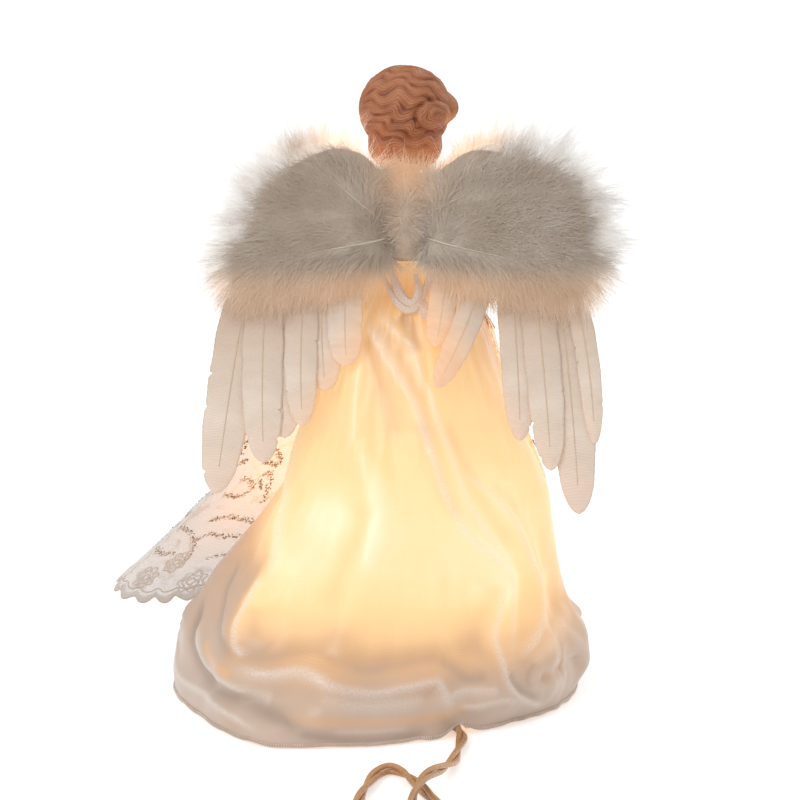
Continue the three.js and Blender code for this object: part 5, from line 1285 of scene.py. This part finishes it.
def hair_surface():
    """Shell from the back of the head to the hairline: locks run from side to side over the back and the top,
    bent in short waves, wind into a spiral at the coil, and turn to a fall of strands at the nape."""
    spin = around(HAIR_COLUMNS)
    falls = np.linspace(0.05, np.pi, HAIRLINE_TRIES)[:, None]
    trial = hair_ways(falls, spin[None])
    away = (HAIR_CENTRE + trial * hair_reach(trial)[..., None] - FACE_OPENING[0]) / FACE_OPENING[1]
    inside = np.sum(away**2, -1) < 1
    first = np.where(inside.any(0), inside.argmax(0), HAIRLINE_TRIES - 1)
    limit = smoothed(np.minimum(falls[first, 0], HAIRLINE_FALL), 25, "wrap")
    share = np.linspace(0.002, 1, HAIR_ROWS)[:, None]
    way = hair_ways(limit[None] * share, spin[None])
    base = HAIR_CENTRE + way * hair_reach(way)[..., None]
    x, y, z = np.moveaxis(base, -1, 0)
    arc = 17.5 * np.arctan2(z - 234.5, y + 1.5)
    bend = 1.2 * np.sin(0.56 * x + 0.36 * arc + 0.9 * np.sin(0.31 * arc))
    bend = bend + 0.9 * np.sin(0.27 * x - 0.3 * arc + 1.1) + 0.14 * np.sin(1.25 * x + 0.7 * arc + 2.0)
    uneven = np.sin(0.47 * x + 0.9 * arc + 1.3 * np.sin(0.5 * arc)) * np.sin(0.21 * x - 0.37 * arc)
    strength = 0.55 + 0.45 * uneven
    ends = rising(np.abs(x), 18.5, -5)
    sway = 1.6 * np.sin(0.5 * x + 0.2 * arc)
    swept = locks_of((arc - 0.2 * x + bend) / LOCK_WIDTH, 1.15 * strength * ends, sway)
    fall_bend = 0.3 * np.sin(0.8 * z + 0.5 * x) + 0.18 * np.sin(1.7 * z + 0.9 * x)
    fallen = locks_of((x - 0.35 * z) / 4.6 + fall_bend, 0.4 + 0.2 * np.sin(0.6 * z + x), sway)
    across, up = (x - BUN_MIDDLE[0]) / 1.12, z - BUN_MIDDLE[1]
    radius = np.hypot(across, up)
    curl = radius / 3.3 - np.arctan2(up, across) / (2 * np.pi) + 0.16 * np.sin(0.9 * across - 0.7 * up)
    wound = locks_of(curl + 0.1, 0.36 + 0.2 * np.sin(0.5 * across + 0.8 * up), sway)
    nape = rising(z, 227, -8) * rising(y, 2, 6)
    coil = eased((BUN_REACH + 0.7 - radius) / 1.4) * rising(y, 1, 4)
    kinds = zip(swept, fallen, wound)
    lift, depth = ((a * (1 - nape) + b * nape) * (1 - coil) + c * coil for a, b, c in kinds)
    rim = bump(radius - BUN_REACH - 0.7, 0.9) * rising(y, 1, 4)
    lift = lift + 1.1 * coil * np.cos(np.minimum(radius / BUN_REACH, 1) * 1.3) - 0.75 * rim
    edge = rising(share, 1, -0.06)
    points = base + way * (lift * edge)[..., None]
    tuck = HAIR_CENTRE + way[-1:] * (hair_reach(way[-1:])[..., None] - EDGE_TUCK)
    shut = np.repeat(HAIR_CENTRE[None, None], HAIR_COLUMNS, 1)
    depth = np.concatenate([depth + 0.3 * rim, np.ones((2, HAIR_COLUMNS))])
    return np.concatenate([points, tuck, shut]), depth


def hair_finish():
    """Terracotta paint, with painted highlight on the backs of the locks, painted shade in the grooves by
    their depth, and painted light through the thin edges.
    """
    finish, tree, shader = finish_of("terracotta_hair", (0.46, 0.17, 0.08), 0.5)
    place = put(tree, "TexCoord").outputs["Object"]
    cloud = sums(tree, "SUBTRACT", noise(tree, place, 160.0, 4.0), 0.5)
    tone = ramp(tree, sums(tree, "ADD", stored(tree, "depth"), cloud), [
        (0.0, (0.53, 0.222, 0.103)), (0.35, (0.44, 0.16, 0.068)), (0.75, (0.31, 0.097, 0.037)),
        (1.0, (0.21, 0.06, 0.022))])
    feed(tree, shader, {
        "Base Color": tone, "Emission Strength": 1.0,
        "Emission Color": ramp(tree, stored(tree, "warm"), [(0.1, BLACK), (1.0, (0.30, 0.14, 0.06))]),
        "Normal": raised(tree, noise(tree, place, 1300.0, 2.0), 0.15, GRAIN_DEPTH)})
    return finish


hair_grid, hair_depth = hair_surface()
hair = joined("hair_waves", [hair_grid])
hair_side, hair_level = np.abs(hair_grid[..., 0]), hair_grid[..., 2]
hair_warm = 0.85 * rising(hair_side, 14.2, 3) * bump(hair_level - 231, 4.5)
hair_warm = 0.75 * rising(hair_level, 230, -16) + hair_warm
mark(hair, depth=np.clip(hair_depth, 0, 1.2), warm=np.clip(hair_warm, 0, 1))
piece(hair, hair_finish(), "base", "hair", "hair")

# Wings: a mounting block behind the bodice carries two card wings on paper hinges. The card is cut by hand
# and shows only between the feathers.
WING_CENTRE, WING_ROOT = np.array([36.0, 196.0]), np.array([1.5, 187.0])
card_paper = moulded("wing_card", (0.56, 0.49, 0.41), (0.68, 0.61, 0.53), 0.85, grain=1200.0, relief=0.3)
dress(card_paper, "wing_spine", "wing_card_left", "wing_card_right")

# Goose feathers: six a wing, glued by their quills to the back of the card. Each has a tapered quill, two
# vanes of barbs that part here and there, and a broad foot, and it is warm where the gown shines through it.
FEATHER_BOW, FEATHER_LAYER, FEATHER_FOOT = 14.0, 1.5, 26.5
# Feathers: root, belly and tip as reach and height above the cone, width, layer and curl of the tip
FEATHERS = {
    "left": [
        ([60, 6], [67, -30], [74, -81], 18, 0, 2), ([53, 7], [57, -28], [55, -69], 16, 1, 2),
        ([45, 8], [50, -22], [47, -60], 16, 0, 1), ([38, 8], [42, -22], [40, -55], 13, 1, 1),
        ([31, 9], [34, -16], [31, -42], 15, 0, 0), ([23, 10], [24, -10], [23, -32], 14, 1, 0),
    ],
    "right": [
        ([62, 6], [72, -18], [74, -62], 9, 1, 1), ([58, 6], [65, -34], [68, -89], 17, 0, 2),
        ([49, 7], [54, -26], [57, -72], 14, 1, 2), ([40, 8], [44, -20], [45, -61], 13, 0, 1),
        ([31, 8], [27, -14], [12, -38], 11, 1, 12), ([17, 13], [15, -8], [12, -24], 11, 0, 4),
    ],
}
VANE_ROWS, VANE_COLUMNS, VANE_THICKNESS = 150, 17, 0.25
BARB_SLANT, VANE_PARTINGS, MAP_LENGTH, MAP_SPREAD = 0.55, 3, 90.0, 4.0
QUILL_RADIUS, QUILL_TAPER, QUILL_TIP = 0.3, 0.9, 0.03


def bent(t, root, belly, tip):
    """Points and directions along a line that leaves its root towards its belly and ends at its tip: each
    place is the three weighted by the square of what is left, twice both shares, and the share squared."""
    root, belly, tip = (np.array(p, float) for p in (root, belly, tip))
    line = (1 - t) ** 2 * root + 2 * t * (1 - t) * belly + t**2 * tip
    return line, unit(2 * (1 - t) * (belly - root) + 2 * t * (tip - belly))


def feather_grids(side, root, belly, tip, width, layer, curl, seed):
    """Vane: points at a share along a bent line and an offset across it, cupped across, bowed away from the
    gown and parted where barbs split. Quill: a thin round wire on the vane's middle line."""
    draw = np.random.default_rng(seed)
    t = np.linspace(0, 1, VANE_ROWS)[:, None]
    line, along = bent(t, root, belly, tip)
    full = (0.8 + 0.2 * eased(t / 0.4)) * np.maximum(1 - t**7, 0) ** 0.5
    across = np.linspace(-1, 1, VANE_COLUMNS)[None, :]
    parted = np.zeros((VANE_ROWS, VANE_COLUMNS))
    for _ in range(VANE_PARTINGS):
        place, edge = draw.uniform(0.45, 0.95), draw.choice([-1, 1])
        parted += draw.uniform(0.08, 0.2) * bump(t - place, 0.007) * eased(edge * across)
    uneven = 1 + 0.02 * np.sin(30 * t + draw.uniform(0, 6)) + 0.008 * np.sin(210 * t)
    offset = across * width / 2 * np.maximum(full, 0.03) * (1 - parted) * uneven
    sweep = BARB_SLANT * np.abs(offset) * (1 - t**3) - 0.25 * width * (1 - t) ** 4
    x = line[:, :1] - along[:, 1:] * offset + along[:, :1] * sweep
    z = line[:, 1:] + along[:, :1] * offset + along[:, 1:] * sweep
    depth = FEATHER_FOOT + layer * FEATHER_LAYER + curl * t**3
    depth = depth + FEATHER_BOW * (np.maximum(0, -z) / 100) ** 1.6
    cup = -0.9 * across**2 * eased(t / 0.3) + 0.1 * np.sin(90 * t + 5 * np.abs(across) + seed)
    vane = stacked(side * x, depth + cup, z + CONE_HEIGHT)
    shaft = VANE_ROWS * 9 // 10
    quill_path = vane[:shaft, VANE_COLUMNS // 2] + [0, 0.1, 0]
    return vane, wire(quill_path, QUILL_RADIUS * (1 - QUILL_TAPER * t[:shaft]) + QUILL_TIP, 6, BACKWARD)


def goose_finish():
    """Goose feather: pale barbs, darker at the foot, and painted peach light where the lit gown shines
    through it, with a faint painted glow all over. The quill is horn coloured."""
    finish, tree, shader = finish_of("goose_feather", (0.74, 0.62, 0.52), 0.6)
    place = put(tree, "TexCoord").outputs["UV"]
    warm, quill, along = (stored(tree, name) for name in ("warm", "quill", "along"))
    barbs = fine_lines(tree, place, 300.0, 1.2, "X", 0.6)
    tone = sums(tree, "ADD", sums(tree, "MULTIPLY", barbs, 0.22), noise(tree, place, 90.0, 4.0))
    cool = ramp(tree, along, [(0.0, (0.46, 0.35, 0.265)), (0.35, (0.66, 0.52, 0.42)),
                              (0.7, (0.80, 0.68, 0.58)), (1.0, (0.86, 0.67, 0.55))])
    lit = ramp(tree, along, [(0.0, (0.58, 0.37, 0.23)), (0.5, (0.72, 0.48, 0.32)), (1.0, (0.78, 0.54, 0.38))])
    fine = ramp(tree, tone, [(0.35, (0.86, 0.85, 0.83)), (0.85, WHITE)])
    vane = blend(tree, 1.0, blend(tree, warm, cool, lit), fine, "MULTIPLY")
    feed(tree, shader, {
        "Base Color": blend(tree, quill, vane, (0.60, 0.46, 0.33, 1)), "Emission Strength": 1.0,
        "Emission Color": ramp(tree, warm, [(0.0, (0.085, 0.064, 0.048)), (1.0, (0.33, 0.175, 0.085))]),
        "Sheen Weight": 0.2, "Normal": raised(tree, barbs, 0.22, 0.0003)})
    return finish


goose = goose_finish()
vane_across, vane_along = np.meshgrid(np.linspace(-1, 1, VANE_COLUMNS), np.linspace(0, 1, VANE_ROWS))
for side, name in SIDES:
    for i, shape in enumerate(FEATHERS[name]):
        vane, quill = feather_grids(side, *shape, seed=10 * i + 3 + side)
        place = np.concatenate([vane.reshape(-1, 3), quill.reshape(-1, 3)])
        vane_faces = grid_quads(VANE_ROWS, VANE_COLUMNS)[:, ::-side]
        quill_faces = grid_quads(*quill.shape[:2], ring=True, start=vane.size // 3)
        thing = mesh_object(f"goose_{name}_{i + 1}", place, np.concatenate([vane_faces, quill_faces]))
        quill_along = np.repeat(np.linspace(0, 1, quill.shape[0]), quill.shape[1])
        along = np.append(vane_along, quill_along)
        lay_map(thing, MAP_LENGTH * along, MAP_SPREAD * np.append(vane_across, 0 * quill_along))
        edge_reach = gown_reach(np.full(len(place), 90.0), np.clip(place[:, 2], 0, SKIRT_TOP))
        mark(thing, along=along, quill=np.arange(len(place)) >= vane.size // 3,
             warm=eased((edge_reach + 8 - np.abs(place[:, 0])) / 22))
        thicken(thing, VANE_THICKNESS)
        piece(thing, goose, f"wing_{name}", "goose_feather", f"feather_{name}_{i + 1}")

# Marabou: downy plumes glued over the roots of the goose feathers behind, over the card in front and over the
# mounting block. Each is a soft pad under thousands of fine barbs, with loose wisps past the outline.
BACK_OUTLINES = {
    "left": [[6, 183], [6.5, 196], [7, 207], [9, 216], [14, 222.5], [20, 225.3], [27, 226], [34, 224],
             [42, 220], [50, 215.5], [56, 208], [60, 199], [64, 188], [68, 173], [57, 169], [44, 171],
             [25, 177]],
    "right": [[6, 183], [6.5, 196], [8, 208], [12, 216.5], [17.5, 221], [22, 224], [28, 225.5], [36.5, 224.5],
              [44, 223], [51, 222], [58, 219.5], [65, 214.5], [70, 207], [73, 198], [73, 187], [70, 173],
              [58, 168], [44, 171], [25, 177]],
}
FRONT_OUTLINE = [[8, 183], [7, 194], [9, 205], [16, 215], [24, 224], [33, 227], [43, 224], [53, 216],
                 [63, 203], [68, 188], [70, 172], [60, 167], [44, 171], [25, 177]]
BACK_FOOT, BACK_DEPTH, FRONT_FOOT, FRONT_DEPTH = 29.2, 10.2, 24.1, -6.0
# The back pads take a darker tint than the front ones as painted shade.
PAD_SHARE, PAD_RISE, PAD_FILL, WISP_RISE, BACK_SHADED_TINT, FRONT_TINT = 0.96, 0.94, 0.4, 0.6, 0.28, 0.78
PAD_COLUMNS, PAD_ROWS = 160, 44
Wing = namedtuple("Wing", "side rim foot depth facing crisp")
# Angles from the wing's centre, in degrees, between which the top edge is crisp, and the wisps stand off
CRISP_EDGE = {"left": (66, 146), "right": (86, 146)}
INNER_EDGE = (142, 214)
WISP_EDGE = {"left": (-34, 66), "right": (-36, 86)}
EVERYWHERE, NOWHERE = (-180, 180), (400, 401)
# Wisps: how many tufts, barbs in each, where, how long, how wide, and their tint at the root and the tip
WISPS = {"left": (240, 13, WISP_EDGE["left"], 15.0, 0.15, (0.68, 0.98)),
         "right": (270, 14, WISP_EDGE["right"], 16.0, 0.17, (0.62, 0.94))}
LOW_EDGE = {"left": (-158, -18), "right": (-144, -18)}
# Low tints of the back down, painted shade
FLUFF_SHADED_TINT = {"left": (0.29, 0.40), "right": (0.32, 0.43)}
# Plumes: root, belly and tip of each quill; then how many barbs, how long, how wide, and their tints
PLUME_QUILLS = {
    "left": [([4, 193], [17, 205], [32, 218]), ([4, 191], [22, 189], [36, 186]),
             ([12, 200], [34, 202], [55, 197])],
    "right": [([5, 198], [14, 204], [24, 209]), ([8, 191], [18, 189], [43, 183]),
              ([14, 204], [38, 211], [62, 207])],
}
PLUME_BARBS, PLUME_QUILL_RADIUS, PLUME_QUILL_TAPER = (900, 9.0, 0.18, (0.42, 0.46)), 0.34, 0.75


def pad_rim(outline):
    """Distance of a wing's outline from its centre by angle: a smooth closed curve through its corners."""
    corners = np.array(outline, float) - WING_CENTRE
    curve = flowing(corners[[*range(len(corners)), 0]], 361)[:-1]
    angle = np.arctan2(curve[:, 1], curve[:, 0])
    order = np.argsort(angle)
    return lambda at: np.interp(at, angle[order], np.hypot(*curve.T)[order], period=2 * np.pi)


def pad_dome(share):
    """Height of the pad from 0 at its rim to 1 in the middle."""
    return np.maximum(0, 1 - np.clip(share, 0, 1) ** 3) ** 0.65


def pad_place(wing, share, angle, rise=1.0):
    """Point on a pad's face at a share of the way from its centre to the rim, at an angle."""
    reach = share * wing.rim(angle)
    x = wing.side * (WING_CENTRE[0] + reach * np.cos(angle))
    return stacked(x, wing.foot + rise * wing.depth * pad_dome(share), WING_CENTRE[1] + reach * np.sin(angle))


def pad_facing(wing, share, angle):
    """Softened direction that a pad faces: out of the wing, a little turned to the rim at the edge."""
    lean = 0.55 * rising(share, 0.55, 0.45)
    return unit(stacked(wing.side * lean * np.cos(angle), wing.facing, lean * np.sin(angle)))


def barbs(root, way, normal, length, width, bend, tint, draw, uneven=0.05, segments=3):
    """Thin strips: each leaves its root along its own direction, bends by the square of the share, and
    narrows to its tip. Each faces along its normal, and its tint runs from the first given to the second."""
    count = len(root)
    t = np.linspace(0, 1, segments + 1)[None, :, None]
    line = root[:, None] + length[:, None, None] * (way[:, None] * t + bend[:, None] * t**2)
    half = (width * draw.uniform(0.6, 1.3, count))[:, None, None] * (1 - 0.85 * t) / 2
    across = unit(np.cross(way, normal))[:, None] * half
    points = np.stack([line - across, line + across], 2)
    shade = tint[0] + (tint[1] - tint[0]) * t + draw.normal(0, uneven, count)[:, None, None]
    faces = copies(grid_quads(segments + 1, 2), 2 * (segments + 1), count)
    return points, faces, np.repeat(shade, 2, 2), np.repeat(normal, 2 * (segments + 1), 0)


def scattered(rim, count, draw, inner, outer, edge=EVERYWHERE):
    """Shares and angles of places spread evenly over a pad, between two shares of the rim and two angles."""
    angle = np.radians(draw.uniform(*edge, 6 * count))
    angle = angle[draw.uniform(0, 1, 6 * count) < (rim(angle) / rim(angle).max()) ** 2][:count]
    return np.sqrt(draw.uniform(inner**2, outer**2, len(angle))), angle


def turned(flat, angle):
    """Flat directions turned by angles."""
    x, z = flat[:, 0], flat[:, 1]
    return stacked(x * np.cos(angle) - z * np.sin(angle), x * np.sin(angle) + z * np.cos(angle))


def combed(place, side, angle, share, crisp):
    """Directions in the wing's own plane: away from its root, more and more square to the rim towards it,
    along the rim where its edge is crisp, and downwards at the foot."""
    way = unit(stacked(side * place[:, 0] - WING_ROOT[0], place[:, 2] - WING_ROOT[1]))
    out, beside = stacked(np.cos(angle), np.sin(angle)), stacked(np.sin(angle), -np.cos(angle))
    way = way + (out - way) * (0.7 * share**3)[:, None]
    degrees = np.degrees(angle)
    edge = eased((degrees - crisp[0]) / 10) * eased((crisp[1] - degrees) / 10) * rising(share, 0.5, 0.35)
    way = way + (beside - way) * edge[:, None]
    hang = 0.75 * rising(place[:, 2], 184, -12)[:, None]
    return unit(way * (1 - hang) + np.array([0.1, -1.0]) * hang)


def on_pad(wing, flat, lift):
    """Places on a pad's face over points of the wing's own plane, lifted off it."""
    x, z = (flat - WING_CENTRE).T
    share = np.hypot(x, z) / wing.rim(np.arctan2(z, x))
    depth = wing.depth * pad_dome(share) + lift * wing.facing
    return stacked(wing.side * flat[:, 0], wing.foot + depth, flat[:, 1])


def down_layer(wing, share, angle, reach, width, tint, draw, scatter=0.4, lean=0.22, curl=0.12, dive=0.5):
    """Barbs from places on a pad: combed, with some scatter, a lean off the pad and a curl."""
    count, facing = len(share), wing.facing
    root, normal = pad_place(wing, share, angle), pad_facing(wing, share, angle)
    flat = turned(combed(root, wing.side, angle, share, wing.crisp), draw.normal(0, scatter, count))
    rise = facing * draw.uniform(0.0, lean, count) - dive * facing * rising(share, 0.6, 0.4)
    way = unit(stacked(wing.side * flat[:, 0], rise, flat[:, 1]))
    bend = stacked(draw.normal(0, curl, count), 0.1 * facing + draw.normal(0, curl / 2, count),
                   draw.normal(-0.06, curl, count))
    return barbs(root, way, normal, reach, width, bend, tint, draw, 0.045)


def wisp_layer(wing, tufts, each, edge, reach, width, tint, draw, out=0.3):
    """Loose wisps in pointed tufts past the rim: a tuft's barbs start side by side and run to one tip."""
    tuft_share, tuft_angle = scattered(wing.rim, tufts, draw, 0.84, 1.0, edge)
    tuft_root = pad_place(wing, tuft_share, tuft_angle, WISP_RISE)
    tuft_way = combed(tuft_root, wing.side, tuft_angle, tuft_share, NOWHERE)
    tuft_way = turned(tuft_way, draw.normal(0, out, len(tuft_way)))
    tuft_reach = reach * draw.uniform(0.5, 1.25, len(tuft_way))
    pick = np.repeat(np.arange(len(tuft_way)), each)
    count = len(pick)
    root = tuft_root[pick] + draw.normal(0, 1.3, (count, 3)) * [1, 0.8, 1]
    tip_way = stacked(wing.side * tuft_way[:, 0], draw.normal(0, 0.12, len(tuft_way)), tuft_way[:, 1])
    tip = tuft_root[pick] + tip_way[pick] * tuft_reach[pick, None] + draw.normal(0, 0.9, (count, 3))
    length = np.linalg.norm(tip - root, axis=-1) * draw.uniform(0.6, 1.1, count)
    normal = pad_facing(wing, tuft_share[pick], tuft_angle[pick])
    bend = draw.normal(0, 0.12, (len(tuft_way), 3))[pick] + draw.normal(0, 0.08, (count, 3)) - [0, 0, 0.08]
    return barbs(root, unit(tip - root), normal, length, width, bend, tint, draw)


def plume_layer(wing, quill, count, reach, width, tint, draw):
    """A plume laid on a pad: barbs from both sides of a bent quill, slanting towards its tip."""
    t = draw.uniform(0.04, 1, count)[:, None]
    flat, along = bent(t, *quill)
    slant = draw.choice([-1, 1], count) * draw.uniform(0.45, 0.95, count) * (1 - 0.6 * t[:, 0] ** 2)
    flat_way = turned(along, slant)
    normal = np.tile([0.0, wing.facing, 0.0], (count, 1))
    way = unit(stacked(wing.side * flat_way[:, 0], 0.1 * wing.facing, flat_way[:, 1]))
    bend = stacked(draw.normal(0, 0.1, count), -0.15 * wing.facing, draw.normal(0, 0.1, count))
    length = reach * draw.uniform(0.5, 1.1, count)
    return barbs(on_pad(wing, flat, 0.3), way, normal, length, width, bend, tint, draw)


def down_finish():
    """Marabou down: grey beige in its depth as painted shade, nearly white at the loose tips as painted
    light, where the daylight comes through it, and painted peach light where the lamps shine through."""
    finish, tree, shader = finish_of("marabou", (0.50, 0.43, 0.35), 0.85)
    place, warm = put(tree, "TexCoord").outputs["Object"], stored(tree, "warm")
    shift = remap(tree, noise(tree, place, 62.0, 3.0), (-0.14, 0.14), (0.3, 0.7))
    amount = sums(tree, "ADD", stored(tree, "tint"), shift)
    cool = ramp(tree, amount, [
        (0.0, (0.42, 0.33, 0.245)), (0.25, (0.56, 0.455, 0.36)), (0.45, (0.63, 0.53, 0.435)),
        (0.65, (0.70, 0.62, 0.55)), (0.82, (0.84, 0.80, 0.76)), (1.0, (0.93, 0.92, 0.90))])
    lit = ramp(tree, amount, [
        (0.0, (0.58, 0.37, 0.24)), (0.5, (0.74, 0.52, 0.37)), (1.0, (0.92, 0.80, 0.68))])
    glow = ramp(tree, warm, [(0.0, BLACK), (1.0, (0.42, 0.25, 0.13))])
    airy = ramp(tree, amount, [(0.55, BLACK), (1.0, (0.24, 0.235, 0.225))])
    feed(tree, shader, {
        "Base Color": blend(tree, warm, cool, lit), "Emission Strength": 1.0, "Sheen Weight": 0.3,
        "Emission Color": blend(tree, 1.0, glow, airy, "ADD"),
        "Normal": raised(tree, noise(tree, place, 900.0, 4.0), 0.3, 0.0006)})
    return finish


def lit_down(places, front):
    """Warmth of the down: behind, at the foot over the bright gown; in front, round the neck and the top."""
    x, z = np.abs(places[..., 0]), places[..., 2]
    if front:
        return np.clip(0.75 * bump(x - 10, 22) * rising(z, 200, 14) + 0.08, 0, 1)
    low = (0.28 + 0.3 * bump(x, 26)) * rising(z, 183, -13)
    return np.clip(low + 0.35 * bump(x, 12) * rising(z, 196, 16), 0, 1)


def downy(name, layers, body, warmth):
    """One mesh of several layers of barbs, each shaded along the softened direction of what it covers."""
    starts = np.cumsum([0] + [layer[0].size // 3 for layer in layers])
    points = np.concatenate([layer[0].reshape(-1, 3) for layer in layers])
    faces = np.concatenate([layer[1] + start for layer, start in zip(layers, starts)])
    thing = mesh_object(f"marabou_barbs_{name}", points, faces)
    mark(thing, tint=np.concatenate([layer[2].ravel() for layer in layers]), warm=warmth(points))
    thing.data.normals_split_custom_set_from_vertices(np.concatenate([layer[3] for layer in layers]))
    piece(thing, marabou, body, "marabou")


def marabou_pad(side, name, front):
    """The soft pad, the barbs that cover it and the wisps along its rim, as pieces of one body."""
    face, body = "front" if front else "back", f"wing_{name}"
    rim = pad_rim(FRONT_OUTLINE if front else BACK_OUTLINES[name])
    foot, depth = (FRONT_FOOT, FRONT_DEPTH) if front else (BACK_FOOT, BACK_DEPTH)
    wing = Wing(side, rim, foot, depth, np.sign(depth), NOWHERE if front else CRISP_EDGE[name])
    draw = np.random.default_rng(41 + 7 * side + 3 * front)
    angle, share = np.meshgrid(around(PAD_COLUMNS) - np.pi, np.linspace(1, 0.004, PAD_ROWS))
    grid = pad_place(wing, PAD_SHARE * share, angle, PAD_RISE)
    rim_back = grid[:1].copy()
    rim_back[..., 1] = foot
    middle = np.broadcast_to(rim_back.mean(1, keepdims=True), rim_back.shape)
    shell = np.concatenate([middle, rim_back, grid])
    pad = joined(f"marabou_pad_{face}_{name}", [shell])
    facing = np.concatenate([np.tile([0, -wing.facing, 0], (2 * PAD_COLUMNS, 1)),
                             pad_facing(wing, share, angle).reshape(-1, 3)])
    pad.data.normals_split_custom_set_from_vertices(facing)
    mark(pad, tint=FRONT_TINT if front else BACK_SHADED_TINT, warm=lit_down(shell, front))
    piece(pad, marabou, body, "marabou", f"marabou_{face}_{name}")

    def spread(count, inner, outer, reach, width, tint, edge=EVERYWHERE, **habit):
        share, angle = scattered(rim, count, draw, inner, outer, edge)
        length = reach * draw.uniform(0.55, 1.2, len(share))
        return down_layer(wing, share, angle, length, width, tint, draw, **habit)

    if front:
        layers = [
            spread(6000, 0.0, 0.97, 7.5, 0.26, (0.72, 0.88)),
            spread(3200, 0.8, 1.0, 9.0, 0.16, (0.76, 0.95)),
            wisp_layer(wing, 250, 12, (-60, 146), 13.0, 0.13, (0.78, 1.0), draw),
        ]
    else:
        layers = [
            spread(10500, 0.0, 0.95, 6.5, 0.26, FLUFF_SHADED_TINT[name]),
            spread(3600, 0.80, 1.0, 8.0, 0.18, (0.34, 0.82), WISP_EDGE[name], lean=0.1),
            spread(5200, 0.72, 1.0, 14.0, 0.2, (0.36, 0.40), LOW_EDGE[name], scatter=0.24, lean=0.05),
            spread(900, 0.86, 1.0, 17.0, 0.26, (0.36, 0.41), (-140, -104), scatter=0.16, lean=0.0),
            wisp_layer(wing, *WISPS[name], draw),
            spread(1900, 0.7, 1.0, 9.0, 0.24, FLUFF_SHADED_TINT[name], INNER_EDGE, scatter=0.5, lean=0.55, dive=0.0),
            *(plume_layer(wing, quill, *PLUME_BARBS, draw) for quill in PLUME_QUILLS[name]),
        ]
        t = np.linspace(0, 1, 40)[:, None]
        lines = [on_pad(wing, bent(t, *quill)[0], 1.2) for quill in PLUME_QUILLS[name][:2]]
        taper = PLUME_QUILL_RADIUS * (1 - PLUME_QUILL_TAPER * t)
        quills = [wire(line, taper, 6, BACKWARD) for line in lines]
        piece(joined(f"plume_quills_{name}", quills), plume_quill, body, "goose_feather")
    downy(f"{face}_{name}", layers, body, lambda points: lit_down(points, front))


marabou = down_finish()
plume_quill = moulded("plume_quill", (0.58, 0.51, 0.40), (0.72, 0.66, 0.55), 0.45, grain=1500.0, relief=0.2)
for side, name in SIDES:
    for front in (False, True):
        marabou_pad(side, name, front)

# Middle tuft: a marabou tuft glued on the mounting block between the wings, with barbs that stand out all
# round and longer ones that lie up over the nape.
TUFT_CENTRE, TUFT_HALF = np.array([0.0, 28.5, 198.0]), np.array([5.2, 7.5, 14.6])
# The tuft and its barbs take low tints, as painted shade.
TUFT_BARBS, NAPE_BARBS, TUFT_COLUMNS, TUFT_ROWS, TUFT_SHADED_TINT = 4200, 3600, 72, 48, 0.36


def tuft_barbs(draw):
    """Barbs that stand out of the tuft all round, longer upwards, where they lie over the nape in peach
    wisps."""
    spin = draw.uniform(-np.pi, np.pi, TUFT_BARBS)
    out = hair_ways(np.arccos(draw.uniform(-0.1, 1, TUFT_BARBS)), spin)
    root = TUFT_CENTRE + 0.9 * TUFT_HALF * out
    way = unit(out * [1.4, 0.35, 1.2] + draw.normal(0, 0.3, (TUFT_BARBS, 3)))
    rise = stacked(draw.normal(0, 8.5, NAPE_BARBS), draw.uniform(22.5, 28.5, NAPE_BARBS),
                   draw.uniform(196, 213, NAPE_BARBS))
    rise_way = unit(stacked(rise[:, 0] / 16 + draw.normal(0, 0.4, NAPE_BARBS),
                            draw.normal(-0.12, 0.1, NAPE_BARBS), 1))
    near = 8.0 * (1 - 0.55 * eased(-out[:, 2] / 0.6))
    layers = []
    for start, go, reach, tint in ((root, way, near, (0.36, 0.46)), (rise, rise_way, 10.5, (0.36, 0.5))):
        count = len(start)
        normal = unit(start * [1, 0, 0] * 0.012 + [0, 1, 0])
        bend = draw.normal(0, 0.12, (count, 3))
        layers.append(barbs(start, go, normal, reach * draw.uniform(0.5, 1.2, count), 0.22, bend, tint, draw))
    return layers


def lit_tuft(places):
    """Warmth of the tuft: more and more towards the lit neck above and the lit waist below."""
    z = places[..., 2]
    return np.clip(0.14 + 0.4 * rising(z, 204, 12) + 0.2 * rising(z, 186, -8), 0, 1)


tuft_spin, tuft_fall = np.meshgrid(around(TUFT_COLUMNS), np.linspace(0.01, np.pi - 0.01, TUFT_ROWS))
tuft_shell = TUFT_CENTRE + TUFT_HALF * hair_ways(tuft_fall, tuft_spin)
tuft = joined("marabou_tuft", [tuft_shell])
mark(tuft, tint=TUFT_SHADED_TINT, warm=lit_tuft(tuft_shell))
piece(tuft, marabou, "base", "marabou")
downy("middle_tuft", tuft_barbs(np.random.default_rng(77)), "base", lit_tuft)
